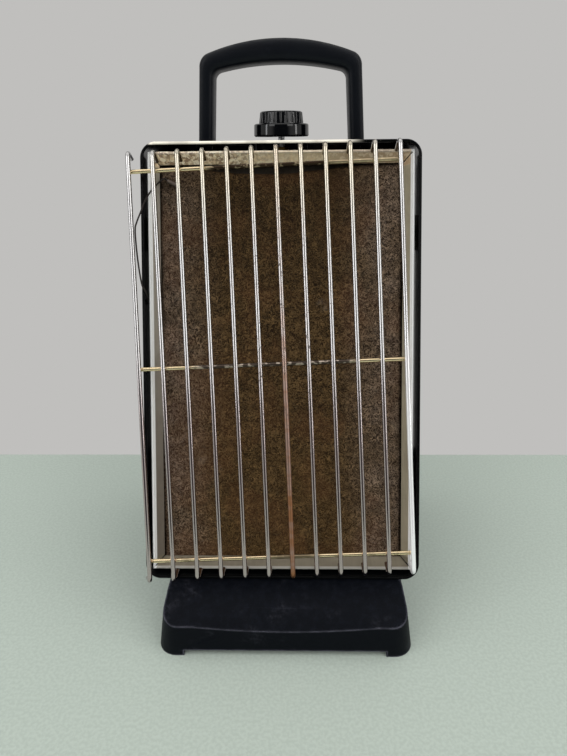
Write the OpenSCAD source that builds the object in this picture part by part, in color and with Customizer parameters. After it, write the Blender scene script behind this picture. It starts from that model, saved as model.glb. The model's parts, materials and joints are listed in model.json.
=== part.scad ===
// Portable catalytic gas heater: a sloped burner face in a folded sheet case on a moulded foot.
// Millimetres. Z is up, the burner face looks towards minus Y, and the foot stands on Z = 0.
// The case sides, top and back stand square to the foot. Only the burner face leans back.

/* [Foot] */
// Width of the foot at the floor
base_w = 187; // [180:1:196]
// Depth of the foot, front to back
base_d = 222; // [214:1:240]
// Height of the seat that the case stands on
base_h = 42; // [38:0.5:50]
// Distance of the foot's middle to the right of the case's middle
base_shift = 2.5; // [0:0.25:4]
// Height of the front wall at its ends
rim_h = 25.5; // [22:0.5:28]
// How far the front wall's top edge dips in the middle
front_dip = 4; // [2:0.5:5]
// Plan radius of the foot's corners
base_corner = 14; // [8:1:22]
// Wall thickness of the moulding
base_t = 3; // [2:0.25:4]
// How far each side wall draws in from the floor to the seat
side_draw = 6.5; // [4:0.25:8]
// Radius of the rounded edge along each side of the seat
edge_r = 5; // [3.5:0.5:7]
// Distance of the front fold behind the front wall
fold_y = 12.5; // [8:0.5:18]
// Height of the front fold
fold_z = 33; // [28:0.5:36]
// Height of the four corner feet
foot_h = 5; // [3:0.25:6]
// Length of each corner foot along the wall
foot_len = 20; // [16:1:34]
// Height of the floor under the gas cylinder
pocket_floor = 8; // [7:0.5:12]

/* [Case] */
// Outside width of the case
case_w = 204; // [196:1:214]
// Outside height of the case, bottom to top
case_h = 304; // [296:1:316]
// Depth of the case's flat top
case_top_d = 76; // [70:1:90]
// Corner radius of the case
case_r = 10; // [7:0.5:14]
// Sheet thickness of the case
case_t = 1; // [0.8:0.1:1.6]
// Angle that the burner face leans back
lean = 19.75; // [16:0.25:23]
// Distance of the case's bottom front edge behind the foot's front wall
case_set = 33.5; // [30:0.5:40]
// Radius of the rolled front hem
hem_r = 1.1; // [0.8:0.1:1.4]
// Width of the folded lip round the open back
back_lip = 8; // [5:0.5:12]

/* [Burner] */
// Gap between the case and the burner frame at each side
frame_side_gap = 3.5; // [3:0.25:5]
// Gap between the case and the burner frame at the top and bottom
frame_end_gap = 5; // [4.5:0.25:8]
// How far the frame's front lip lies behind the case edge
lip_w = 3.75; // [3:0.25:6]
// Radius of the frame's rolled lip
lip_r = 0.9; // [0.6:0.1:1.2]
// Width of the frame's sloped flange
flange_in = 7; // [5:0.5:9]
// Depth of the frame's sloped flange
flange_deep = 10; // [8:0.5:13]
// Sheet thickness of the burner parts
sheet_t = 0.8; // [0.6:0.1:1]
// Width of the open seam at each mitred corner
seam = 0.5; // [0.3:0.1:0.8]
// Thickness of the catalyst pad
pad_t = 9; // [6:0.5:11]
// Depth of the gas space behind the pad
plenum_d = 5; // [4:0.5:7]
// Distance between the burner pan and the heat shield
shield_gap = 6; // [4:0.5:9]

/* [Guard] */
// Number of upright bars
bar_n = 12; // [10:1:12]
// Distance between the bars
bar_pitch = 17.6; // [16.5:0.1:17.8]
// Radius of an upright bar
bar_r = 1.7; // [1.4:0.1:1.9]
// Radius of a cross rod
rod_r = 1.5; // [1.2:0.1:1.8]
// Overall height of the guard
guard_h = 315.3; // [308:0.1:317]
// How far the bars stand in front of the case edge
guard_out = 11; // [9:0.5:14]
// Angle that the sprung guard is turned in its own plane
guard_turn = 2.17; // [1.8:0.01:2.4]
// Sideways place of the guard's centre
guard_u = -6.1; // [-7:0.1:-5.5]
// Height of the guard's centre along the face
guard_v = 160.4; // [159:0.1:161.5]
// Distance of the outer rods from the middle rod
rod_off = 142.2; // [130:0.1:146]
// Radius of the bend at each bar end
hook_bend = 4; // [3:0.25:5]
// Angle that the hooked ends pinch in
hook_pinch = 17; // [15:0.5:20]
// Angle that the end bar's bottom hook turns out, past the case's corner
free_splay = 22; // [18:0.5:25]
// Angle that the end bar's top hook turns out, beside the case
top_splay = 5; // [0:0.5:12]

/* [Handle] */
// Height of the handle above the case
handle_h = 70; // [62:0.5:84]
// Width across the handle's legs at the case
handle_w = 128.6; // [120:0.2:136]
// How far each leg draws in towards the top
leg_draw = 3.7; // [2:0.1:5]
// Width of a leg seen from the front
leg_w = 11.8; // [10:0.1:14]
// Thickness of the grip at its middle
grip_t = 16.5; // [14:0.5:20]
// Front to back depth of the handle
handle_d = 26; // [22:0.5:30]
// Radius of the grip's crown
crown_r = 160; // [140:5:220]
// Radius of the grip's underside
palm_r = 215; // [190:5:260]

/* [Valve] */
// Distance of the knob's axis behind the top front edge
knob_set = 38; // [36:0.5:42]
// Radius of the knob's skirt
knob_r = 21.5; // [18:0.25:24]
// Height of the knob's skirt
knob_skirt_h = 9.2; // [7:0.2:12]
// Radius of the fluted grip at its foot
knob_grip_r = 17.3; // [14:0.1:17.6]
// Height of the fluted grip
knob_grip_h = 8.7; // [7:0.1:12]
// Number of flutes round the grip
flute_n = 24; // [18:1:30]
// Gap under the knob, which is its push
knob_gap = 3.3; // [3:0.1:5]
// Radius of the valve stem
stem_r = 2.5; // [2.2:0.1:3]
// Running clearance of the stem and plunger
run_gap = 0.05; // [0.03:0.01:0.08]
// Radius of the regulator
reg_r = 25; // [22:0.5:27]
// Radius of the cylinder inlet, over its thread
inlet_r = 12.1; // [12:0.05:12.3]
// Depth of the inlet's thread
inlet_deep = 13; // [11:0.5:15]
// Radius of the room kept for a gas cylinder
bay_r = 52; // [50.5:0.5:54]

/* [Sensor] */
// Radius of the thermocouple lead
lead_r = 0.6; // [0.5:0.05:0.7]
// Radius of the thermocouple tip
tip_r = 1.6; // [1.2:0.1:2]

/* [Hidden] */
$fn = 48;
e = 0.01;
lap = 0.2;
fit_gap = 0.25;

// Face frame: x across, y into the case square to the face, z up along the face
face_h = case_h / cos(lean);
case_back = case_set + case_h * tan(lean) + case_top_d;
case_top = base_h + case_h;
axis_y = case_set + case_h * tan(lean) + knob_set;

// Guard reach, used for the whole heater's centre
guard_left = abs(guard_u) + guard_h / 2 * sin(guard_turn) + bar_r
  + (bar_n - 1) / 2 * bar_pitch * cos(guard_turn) + (guard_out + lip_w) * sin(top_splay);
depth_back = max(base_d, case_back);
guard_front = case_set - (guard_out + bar_r) * cos(lean);
depth_front = min(0, guard_front);
case_right = case_w / 2 - case_t / 2 + hem_r;
centre = [(guard_left - case_right) / 2, -(depth_front + depth_back) / 2, 0];

// Burner levels, counted into the case from the face
frame_w = case_w - 2 * frame_side_gap;
frame_h = face_h - 2 * frame_end_gap;
pad_front = lip_w + flange_deep + fit_gap;
pad_back = pad_front + pad_t;
screen_back = pad_back + fit_gap + sheet_t;
ledge_back = screen_back + fit_gap + sheet_t;
pan_back = ledge_back + plenum_d;
shield_front = pan_back + shield_gap;
pan_w = frame_w - 2 * sheet_t - 2 * fit_gap;
pan_h = frame_h - 2 * sheet_t - 2 * fit_gap;
skirt_back = pad_back - 1;
ledge_in = 7;
mixer_r = 8;

// Valve levels above the floor
panel_under = case_top - case_t;
bracket_t = 1.5;
bracket_drop = 11.5;
web_top = panel_under - fit_gap - bracket_drop;
web_under = web_top - bracket_t;
valve_r = 11;
valve_low = web_under - 47;
neck_r = 6;
neck_top = web_top + 8.5;
stem_low = web_under - 20;
knob_low = case_top + knob_gap;
plunger_r = 1.5;
plunger_len = 8;
riser_r = 7;
reg_top = valve_low - 18;
cover_h = 10;
reg_h = 16;
socket_r = 17;
socket_h = 27;
inlet_mouth = reg_top - cover_h - reg_h - socket_h;
handle_x = handle_w / 2 - leg_w / 2;

// Where the valve's outlet meets the burner, in the face frame
outlet_z = valve_low + 8;
outlet_in = (axis_y - case_set) * cos(lean) - (outlet_z - base_h) * sin(lean);
outlet_v = (axis_y - case_set) * sin(lean) + (outlet_z - base_h) * cos(lean);

// Front edge of the foot's seat, behind the case's hem
seat_y = case_set + 2.8;

// Screw sizes
m4_r = 2;
m4_head_r = 3.8;
m3_r = 1.5;
m3_head_r = 2.8;
head_h = 2.2;
shank_gap = 0.2;

// Fixing places
base_screw_x = base_w / 2 - side_draw - 13;
base_screw_xy = [for (x = [-1, 1], y = [case_set + 44.5, base_d - 26]) [x * base_screw_x, y]];
bracket_v = [62, face_h - 62];
shield_fix = [[-62, 46], [62, 46], [-62, 206], [62, 206]];
shield_w = 150;
shield_v = [30, 226];

// Moves a piece to the heater's own centre
module placed() { translate(centre) children(); }

// Face frame to heater frame
module on_face() {
  placed() translate([0, case_set, base_h]) rotate([-lean, 0, 0]) children();
}

// Heater frame on the knob's axis
module on_axis(z = 0) { placed() translate([0, axis_y, z]) children(); }

// Rectangle with round corners, centred
module round_rect(w, h, r) {
  square([w - 2 * r, h], center = true);
  square([w, h - 2 * r], center = true);
  for (x = [-1, 1], y = [-1, 1]) translate([x * (w / 2 - r), y * (h / 2 - r)]) circle(r);
}

// Plate lying in the face frame between two depths
module face_plate(w, h, r, front, back, v = face_h / 2) {
  translate([0, front, v]) rotate([-90, 0, 0]) linear_extrude(back - front) round_rect(w, h, r);
}

// Pan head screw pointing along minus Z, with its head's seat at z = 0
module screw(r, head_r, length) {
  difference() {
    cylinder(r = head_r, h = head_h);
    translate([0, 0, head_h - 1]) cube([head_r * 1.3, 0.8, 2.4], center = true);
    translate([0, 0, head_h - 1]) cube([0.8, head_r * 1.3, 2.4], center = true);
  }
  translate([0, 0, -length]) cylinder(r = r, h = length + e);
}

// Side outline of the foot, drawn in from the outside by t
module foot_side(t, low) {
  polygon([
    [-fold_y, low], [-fold_y, rim_h - (fold_z - rim_h) - t * 1.2], [fold_y + t * 0.6, fold_z - t],
    [seat_y + t * 0.4, base_h - t], [base_d - 5 - t, base_h - t], [base_d + 5 - t, base_h - 10 - t],
    [base_d + 5, low]
  ]);
}

// Front outline of the foot, drawn in by t
module foot_front(t, low) {
  r = edge_r - t / 2;
  from = base_h - t - r;
  wall = base_w / 2 - t - side_draw * from / base_h;
  right = concat(
    [[base_w, low], [base_w, from], [wall + 0.05, from]],
    [for (a = [22.5:22.5:90]) [wall - r + r * cos(a), from + r * sin(a)]]
  );
  polygon(concat(right, [for (i = [len(right) - 1:-1:0]) [-right[i][0], right[i][1]]]));
}

// Block with drafted walls and round corners, drawn in by t
module foot_block(t, low) {
  front_draw = 1.5;
  hull() for (up = [0, 1]) translate([0, base_d / 2, up == 0 ? low : base_h]) linear_extrude(e)
    round_rect(
      base_w - 2 * t - 2 * up * side_draw, base_d - 2 * t - 2 * up * front_draw,
      base_corner - t * 0.9 - up * side_draw / 2, $fn = 32
    );
}

// Hollow that lets the front wall's top edge dip in the middle, opened out by t
module front_hollow(t) {
  half = base_w / 2 - base_corner;
  r = half * half / (2 * front_dip);
  translate([0, 0, rim_h - front_dip]) rotate([atan2(fold_z - rim_h + front_dip, fold_y), 0, 0])
    translate([0, 0, r]) rotate([90, 0, 0]) cylinder(r = r + t, h = 4 * fold_y, center = true, $fn = 900);
}

// The foot as the part that its outlines share, less the front hollow
module foot_form(t, low) {
  translate([base_shift, 0, 0]) difference() {
    intersection() {
      foot_block(t, low);
      rotate([90, 0, 90]) translate([0, 0, -base_w]) linear_extrude(2 * base_w) foot_side(t, low);
      translate([0, 2 * base_d, 0]) rotate([90, 0, 0]) linear_extrude(3 * base_d) foot_front(t, low);
    }
    front_hollow(t);
  }
}

// Room for the gas cylinder, open to the back
module bay(low, high, r) {
  translate([0, axis_y, low]) cylinder(r = r, h = high - low, $fn = 96);
  translate([-r, axis_y, low]) cube([2 * r, 2 * base_d, high - low]);
}

module base() {
  boss_r = 6;
  color("#14171c") placed() difference() {
    union() {
      difference() {
        foot_form(0, 0);
        foot_form(base_t, -e);
      }
      intersection() {
        foot_form(base_t / 2, 0);
        union() {
          difference() {
            bay(pocket_floor - base_t, base_h + 5, bay_r + base_t);
            bay(pocket_floor, base_h + 6, bay_r);
          }
          for (p = base_screw_xy) translate([p.x, p.y, pocket_floor]) cylinder(r = boss_r, h = base_h);
          for (x = [-1, 1]) translate([x * base_w / 4 - base_t / 2, base_t, foot_h])
            cube([base_t, axis_y - bay_r - base_t, base_h]);
        }
      }
    }
    bay(pocket_floor, base_h + 6, bay_r);
    for (p = base_screw_xy) translate([p.x, p.y, pocket_floor - 5]) cylinder(r = m4_r + e, h = base_h);
    translate([base_shift - base_w / 2 + foot_len, -base_d, -e])
      cube([base_w - 2 * foot_len, 3 * base_d, foot_h]);
    translate([-base_w, foot_len, -e]) cube([2 * base_w, base_d - 2 * foot_len, foot_h]);
  }
}

module base_screws() {
  color("#8c8f92") placed() for (p = base_screw_xy)
    translate([p.x, p.y, base_h + case_t]) screw(m4_r, m4_head_r, case_t + 12);
}

// Side view of the case, cut at the front by the burner face
module case_side(d) {
  polygon([
    [case_set, base_h - d], [case_set - d * tan(lean), base_h - d],
    [case_set + (case_h + d) * tan(lean), case_top + d], [case_back, case_top + d],
    [case_back, base_h - d]
  ]);
}

// Sleeve of the case, drawn in by t
module case_sleeve(t) {
  translate([0, 3 * base_d, base_h + case_h / 2]) rotate([90, 0, 0]) linear_extrude(5 * base_d)
    round_rect(case_w - 2 * t, case_h - 2 * t, case_r - t);
}

module case_wrapper() {
  r = case_r + 0.3;
  half = case_w / 2 - case_t / 2;
  color("#0c0d0f") {
    placed() difference() {
      union() {
        intersection() {
          difference() {
            case_sleeve(0);
            case_sleeve(case_t);
          }
          rotate([90, 0, 90]) translate([0, 0, -case_w]) linear_extrude(2 * case_w) case_side(1);
        }
        difference() {
          translate([0, case_back, base_h + case_h / 2]) rotate([90, 0, 0]) linear_extrude(case_t)
            round_rect(case_w - e, case_h - e, case_r);
          translate([0, case_back + e, base_h + case_h / 2]) rotate([90, 0, 0])
            linear_extrude(case_t + 1) round_rect(case_w - 2 * back_lip, case_h - 2 * back_lip, 4);
        }
      }
      bay(base_h - 5, base_h + back_lip + 2, bay_r);
      translate([0, axis_y, case_top - 5]) cylinder(r = stem_r + 1.5, h = 10);
      for (x = [-1, 1]) translate([x * handle_x, axis_y, case_top - 5])
        cylinder(r = m4_r + shank_gap, h = 10);
      for (p = base_screw_xy) translate([p.x, p.y, base_h - 5]) cylinder(r = m4_r + shank_gap, h = 10);
      translate([0, case_set, base_h]) rotate([-lean, 0, 0]) for (x = [-1, 1], v = bracket_v)
        translate([x * (half - 5), pan_back - 6, v]) rotate([0, 90, 0])
          cylinder(r = m3_r + shank_gap, h = 20, center = true);
    }
    on_face() {
      for (x = [-1, 1]) translate([x * half, 0, r + case_t / 2])
        cylinder(r = hem_r, h = face_h - 2 * r - case_t);
      for (v = [case_t / 2, face_h - case_t / 2]) translate([0, 0, v]) rotate([0, 90, 0])
        cylinder(r = hem_r, h = case_w - 2 * r - case_t, center = true);
      for (x = [0, 1], z = [0, 1]) mirror([x, 0, 0]) translate([0, 0, face_h / 2])
        mirror([0, 0, z]) translate([half - r, 0, -face_h / 2 + case_t / 2 + r])
          rotate([90, 0, 0]) rotate([0, 0, -90]) rotate_extrude(angle = 90) translate([r, 0])
            circle(hem_r);
    }
  }
}

// Keeps a burner piece inside the case, drawn in by t from the case's inner walls
module inside_case(t) {
  intersection() {
    union() children();
    placed() case_sleeve(case_t + fit_gap + t);
  }
}

// Section of the burner frame: x runs inwards from the outer edge, y into the case
module frame_skirt() {
  translate([0, lip_w + lip_r]) square([sheet_t, skirt_back - lip_w - lip_r]);
  translate([lip_r, lip_w + lip_r]) circle(lip_r);
}

module frame_flange() {
  rise = sheet_t * 1.3;
  polygon([
    [lip_r, lip_w + 0.1], [flange_in, lip_w + flange_deep - rise], [flange_in, lip_w + flange_deep],
    [sheet_t / 2, lip_w + rise + lip_r]
  ]);
}

// One straight side of a frame with mitred ends, its outer edge on z = 0.
// A gap above 0 keeps it off the mitre line, and a gap below 0 laps it over the line.
module mitred(length, gap) {
  half = length / 2 - max(gap, 0);
  over = max(-gap, 0);
  end = concat([[half, 0]], over > 0 ? [[half, over]] : [], [[half - 20, 20 + over]]);
  intersection() {
    rotate([90, 0, 90]) translate([0, 0, -length]) linear_extrude(2 * length)
      mirror([1, 0]) rotate(90) children();
    translate([0, 2 * skirt_back, 0]) rotate([90, 0, 0]) linear_extrude(3 * skirt_back)
      polygon(concat(end, [for (i = [len(end) - 1:-1:0]) [-end[i][0], end[i][1]]]));
  }
}

// The four sides of the burner frame, set round the pad
module frame_ring(gap) {
  translate([0, 0, face_h / 2]) for (s = [0, 1]) {
    mirror([0, 0, s]) translate([0, 0, -frame_h / 2]) mitred(frame_w, gap) children();
    mirror([s, 0, 0]) rotate([0, 90, 0]) translate([0, 0, -frame_w / 2])
      mitred(frame_h, gap) children();
  }
}

module pad_frame() {
  color("#a79c84") inside_case(0) on_face() {
    frame_ring(-lap) frame_skirt();
    frame_ring(seam) frame_flange();
  }
}

module catalyst_pad() {
  color("#4a3b2b") inside_case(sheet_t + fit_gap) on_face()
    face_plate(pan_w - 4, pan_h - 4, 3, pad_front, pad_back);
}

module pad_screen() {
  cols = 7;
  rows = 11;
  hole = 9;
  step_u = (pan_w - 24) / cols;
  step_v = (pan_h - 24) / rows;
  color("#77736b") inside_case(sheet_t + fit_gap) on_face() difference() {
    face_plate(pan_w - 3, pan_h - 3, 3, pad_back + fit_gap, screen_back);
    for (i = [0:cols - 1], j = [0:rows - 1])
      translate([(i - (cols - 1) / 2) * step_u, pad_back - 5, face_h / 2 + (j - (rows - 1) / 2) * step_v])
        rotate([-90, 0, 0]) cylinder(r = hole, h = 20, $fn = 24);
  }
}

module burner_pan() {
  color("#8d8a83") difference() {
    union() {
      difference() {
        inside_case(0) on_face() face_plate(pan_w, pan_h, 4, pad_front + 0.2, pan_back);
        inside_case(sheet_t) on_face()
          face_plate(pan_w - 2 * sheet_t, pan_h - 2 * sheet_t, 4 - sheet_t, 0, pan_back - sheet_t);
      }
      difference() {
        inside_case(e) on_face()
          face_plate(pan_w - e, pan_h - e, 4, screen_back + fit_gap, ledge_back);
        inside_case(ledge_in) on_face()
          face_plate(pan_w - 2 * ledge_in, pan_h - 2 * ledge_in, 4, 0, ledge_back + 1);
      }
    }
    on_face() translate([0, 0, outlet_v]) rotate([-90, 0, 0])
      cylinder(r = mixer_r + fit_gap, h = 2 * pan_back);
    on_face() for (x = [-1, 1], v = bracket_v) translate([x * (pan_w / 2 - 10), 0, v])
      rotate([-90, 0, 0]) cylinder(r = m3_r + shank_gap, h = 2 * pan_back);
    on_face() for (p = shield_fix) translate([p.x, 0, p.y]) rotate([-90, 0, 0])
      cylinder(r = m3_r + shank_gap, h = 2 * pan_back);
  }
}

module gas_spreader() {
  spread_back = pan_back - sheet_t - 1.4;
  wide = pan_w - 85;
  high = pan_h - 121;
  mid = face_h / 2 + 10;
  color("#77736b") on_face() difference() {
    union() {
      face_plate(wide, high, 6, spread_back - sheet_t, spread_back, mid);
      for (x = [-1, 1], v = [-1, 1])
        translate([x * (wide / 2 - 10), spread_back - e, mid + v * (high / 2 - 15)])
          rotate([-90, 0, 0]) cylinder(r = 3, h = 1.4);
    }
    for (p = shield_fix) translate([p.x, 0, p.y]) rotate([-90, 0, 0]) cylinder(r = 6, h = 2 * pan_back);
  }
}

// Angle pieces that hold the burner pan to the case sides
module pan_brackets() {
  wide = 24;
  long = 14;
  wall = case_w / 2 - case_t - fit_gap;
  foot = pan_w / 2 - 18;
  color("#9a978f") on_face() for (x = [0, 1], v = bracket_v) mirror([x, 0, 0]) difference() {
    union() {
      translate([wall - bracket_t, pan_back - long, v - wide / 2]) cube([bracket_t, long + 2, wide]);
      translate([foot, pan_back + 0.1, v - wide / 2]) cube([wall - foot, bracket_t, wide]);
    }
    translate([wall, pan_back - 6, v]) rotate([0, 90, 0]) cylinder(r = m3_r, h = 20, center = true);
    translate([pan_w / 2 - 10, pan_back - 5, v]) rotate([-90, 0, 0]) cylinder(r = m3_r, h = 20);
  }
}

module bracket_screws() {
  color("#8c8f92") on_face() for (x = [-1, 1], v = bracket_v)
    translate([x * (pan_w / 2 - 10), pan_back + bracket_t + 0.1, v]) rotate([-90, 0, 0])
      screw(m3_r - e, m3_head_r, bracket_t + sheet_t + 0.4);
}

module case_side_screws() {
  color("#5c5e60") on_face() for (x = [0, 1], v = bracket_v) mirror([x, 0, 0])
    translate([case_w / 2, pan_back - 6, v]) rotate([0, 90, 0])
      screw(m3_r - e, m3_head_r, case_t + bracket_t + fit_gap);
}

module heat_shield() {
  low = shield_v[0];
  high = shield_v[1];
  color("#a2a4a3") on_face() difference() {
    union() {
      face_plate(shield_w, high - low, 6, shield_front, shield_front + sheet_t, (low + high) / 2);
      for (x = [-1, 1]) translate([x * (shield_w / 2 - sheet_t / 2), shield_front + 2, (low + high) / 2])
        cube([sheet_t, 4, high - low - 16], center = true);
    }
    for (p = shield_fix) translate([p.x, 0, p.y]) rotate([-90, 0, 0])
      cylinder(r = m3_r + shank_gap, h = 2 * shield_front);
    for (i = [0:6]) translate([0, 0, low + 34 + i * 21]) rotate([-90, 0, 0])
      linear_extrude(2 * shield_front) round_rect(80, 5, 2.4);
  }
}

module shield_spacers() {
  color("#b0aca2") on_face() for (p = shield_fix) translate([p.x, pan_back + 0.05, p.y])
    rotate([-90, 0, 0]) difference() {
      cylinder(r = 3.5, h = shield_gap - 0.1);
      translate([0, 0, -1]) cylinder(r = m3_r + shank_gap, h = shield_gap + 2);
    }
}

module shield_screws() {
  color("#8c8f92") on_face() for (p = shield_fix) translate([p.x, shield_front + sheet_t, p.y])
    rotate([-90, 0, 0]) screw(m3_r, m3_head_r, shield_gap + 2 * sheet_t + 0.4);
}

// A bar end: the bend, then the hooked length, pointing along plus Y and turned by pinch
module bar_hook(pinch, reach) {
  translate([0, hook_bend, 0]) rotate([0, -90, 0]) {
    rotate([0, 0, -90]) rotate_extrude(angle = 90 + pinch) translate([hook_bend, 0]) circle(bar_r);
    rotate([0, 0, pinch]) translate([hook_bend, -lap, 0]) rotate([-90, 0, 0])
      cylinder(r = bar_r - 0.05, h = reach + lap);
  }
}

// Guard frame: x across the bars, z along them, y into the case
module on_guard() {
  on_face() translate([guard_u, -guard_out, guard_v]) rotate([0, -guard_turn, 0]) children();
}

// Reach of a hook, so that its end stops short of the burner frame's lip
function hook_reach(pinch) =
  (guard_out - hook_bend + lip_w - fit_gap - bar_r * sin(pinch) - hook_bend * sin(pinch)) / cos(pinch);

module guard_bars() {
  straight = guard_h / 2 - bar_r - hook_bend;
  free_pinch = [0, -10];
  splay = [top_splay, free_splay];
  color("#b9b7b0") on_guard() for (i = [0:bar_n - 1])
    translate([(i - (bar_n - 1) / 2) * bar_pitch, 0, 0]) for (s = [0, 1]) {
      pinch = i == 0 ? free_pinch[s] : hook_pinch;
      rotate([0, 0, i == 0 ? splay[s] : 0]) mirror([0, 0, s]) {
        translate([0, 0, -lap]) cylinder(r = bar_r, h = straight + lap);
        translate([0, 0, straight]) bar_hook(pinch, hook_reach(abs(pinch)));
      }
    }
}

module guard_rods() {
  long = (bar_n - 1) * bar_pitch + 4;
  color("#a88f5a") on_guard() for (v = [-rod_off, 0, rod_off])
    translate([0, bar_r + rod_r + 0.05, v + 0.7]) rotate([0, 90, 0]) cylinder(r = rod_r, h = long, center = true);
}

// Half outline of the handle in front view: outer and inner points for one station
leg_top = handle_h - 18;
turn_r = 10;
palm_turn_r = 6;
crown_z = handle_h;
palm_z = handle_h - grip_t;
function crown(x) = crown_z - crown_r + sqrt(crown_r * crown_r - x * x);
function palm(x) = palm_z - palm_r + sqrt(palm_r * palm_r - x * x);
outer_x = handle_w / 2 - leg_draw;
inner_x = outer_x - leg_w + 0.8;
// Centre of a shoulder of radius r that touches the leg and an arc of radius arc_r crowned at top
function shoulder(x, r, arc_r, top) =
  [x - r, top - arc_r + sqrt((arc_r - r) * (arc_r - r) - (x - r) * (x - r))];
outer_turn = shoulder(outer_x, turn_r, crown_r, crown_z);
inner_turn = shoulder(inner_x, palm_turn_r, palm_r, palm_z);
outer_sweep = acos(outer_turn[0] / (crown_r - turn_r));
inner_sweep = acos(inner_turn[0] / (palm_r - palm_turn_r));
outer_end = outer_turn[0] + turn_r * cos(outer_sweep);
inner_end = inner_turn[0] + palm_turn_r * cos(inner_sweep);
function leg_stations(n) = [for (i = [0:n]) let (s = i / n) [
  [handle_w / 2 - leg_draw * s, outer_turn[1] * s],
  [handle_w / 2 - leg_w - (leg_draw - 0.8) * s, inner_turn[1] * s]
]];
function turn_stations(n) = [for (i = [1:n]) let (a = outer_sweep * i / (n + 1), b = inner_sweep * i / (n + 1)) [
  [outer_turn[0] + turn_r * cos(a), outer_turn[1] + turn_r * sin(a)],
  [inner_turn[0] + palm_turn_r * cos(b), inner_turn[1] + palm_turn_r * sin(b)]
]];
function grip_stations(n) = [for (i = [0:n]) let (s = 1 - i / n) [
  [outer_end * s, crown(outer_end * s)], [inner_end * s, palm(inner_end * s)]
]];
half_handle = concat(leg_stations(4), turn_stations(7), grip_stations(10));
handle_line = concat(
  half_handle,
  [for (i = [len(half_handle) - 2:-1:0]) [for (p = half_handle[i]) [-p[0], p[1]]]]
);

// One closed ring of the moulded section between an outer and an inner point
section_n = 24;
round_power = 0.55;
function rounded(c) = sign(c) * pow(abs(c), round_power);
function handle_ring(pair) = let (mid = (pair[0] + pair[1]) / 2, arm = (pair[0] - pair[1]) / 2)
  [for (k = [0:section_n - 1]) let (a = 360 * k / section_n, p = mid + arm * rounded(cos(a)))
    [p[0], handle_d / 2 * rounded(sin(a)), p[1]]];

// Closed skin over a row of rings with the same number of points
module skin(rings) {
  n = len(rings[0]);
  last = len(rings) - 1;
  polyhedron(
    points = [for (ring = rings) each ring],
    faces = concat(
      [[for (k = [0:n - 1]) k]],
      [for (i = [0:last - 1], k = [0:n - 1], h = [0, 1]) let (m = (k + 1) % n)
        h == 0 ? [i * n + k, (i + 1) * n + k, (i + 1) * n + m] : [i * n + k, (i + 1) * n + m, i * n + m]],
      [[for (k = [n - 1:-1:0]) last * n + k]]
    ),
    convexity = 4
  );
}

module handle() {
  color("#181b21") on_axis(case_top + 0.05) skin([for (pair = handle_line) handle_ring(pair)]);
}

module handle_screws() {
  color("#8c8f92") for (x = [-1, 1]) on_axis(panel_under - 2 * fit_gap - bracket_t)
    translate([x * handle_x, 0, 0]) mirror([0, 0, 1])
      screw(m4_r, m4_head_r, case_t + 2 * fit_gap + bracket_t - e);
}

// Hat section that carries the valve and ties both handle legs together
module valve_bracket() {
  top = panel_under - fit_gap;
  deep = handle_d + 4;
  span = handle_w + 4;
  web = 44;
  color("#9a978f") on_axis() difference() {
    translate([0, deep / 2, 0]) rotate([90, 0, 0]) linear_extrude(deep) {
      for (x = [-1, 1]) translate([x * (span + web) / 4, top - bracket_t / 2])
        square([(span - web) / 2, bracket_t], center = true);
      for (x = [-1, 1]) translate([x * (web - bracket_t) / 2, (top + web_under) / 2])
        square([bracket_t, top - web_under], center = true);
      translate([0, web_under + bracket_t / 2]) square([web, bracket_t], center = true);
    }
    for (x = [-1, 1]) translate([x * handle_x, 0, top - 5]) cylinder(r = m4_r + shank_gap, h = 10);
    translate([0, 0, web_under - 5]) cylinder(r = neck_r + fit_gap, h = 10);
  }
}

module valve_body() {
  color("#b08d3e") difference() {
    union() {
      on_axis(valve_low) cylinder(r = valve_r, h = web_under - valve_low - 0.05);
      on_axis(web_under - 1) cylinder(r = neck_r, h = neck_top - web_under + 1);
      on_face() translate([0, outlet_in - 15, outlet_v]) rotate([-90, 0, 0]) cylinder(r = 6, h = 15);
      on_axis(valve_low + 28) rotate([0, -90, 0]) cylinder(r = 5, h = valve_r + 5);
    }
    on_axis(stem_low - knob_gap) cylinder(r = stem_r + run_gap, h = 2 * case_h);
    on_axis(stem_low - plunger_len - knob_gap - 1)
      cylinder(r = plunger_r + run_gap, h = plunger_len + knob_gap + 2);
    on_face() translate([0, outlet_in - 16, outlet_v]) rotate([-90, 0, 0])
      cylinder(r = 3 + e, h = 7);
  }
}

module bonnet_nut() {
  flats = 19;
  color("#b08d3e") on_axis(web_top + 0.05) difference() {
    cylinder(d = flats / cos(30), h = 6, $fn = 6);
    translate([0, 0, -1]) cylinder(r = neck_r + 0.05, h = 10);
  }
}

module safety_plunger() {
  color("#9fa2a4") on_axis(stem_low - plunger_len) cylinder(r = plunger_r, h = plunger_len - 0.02);
}

module valve_stem() {
  color("#9fa2a4") on_axis(stem_low) cylinder(r = stem_r, h = knob_low + knob_skirt_h - stem_low);
}

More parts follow.
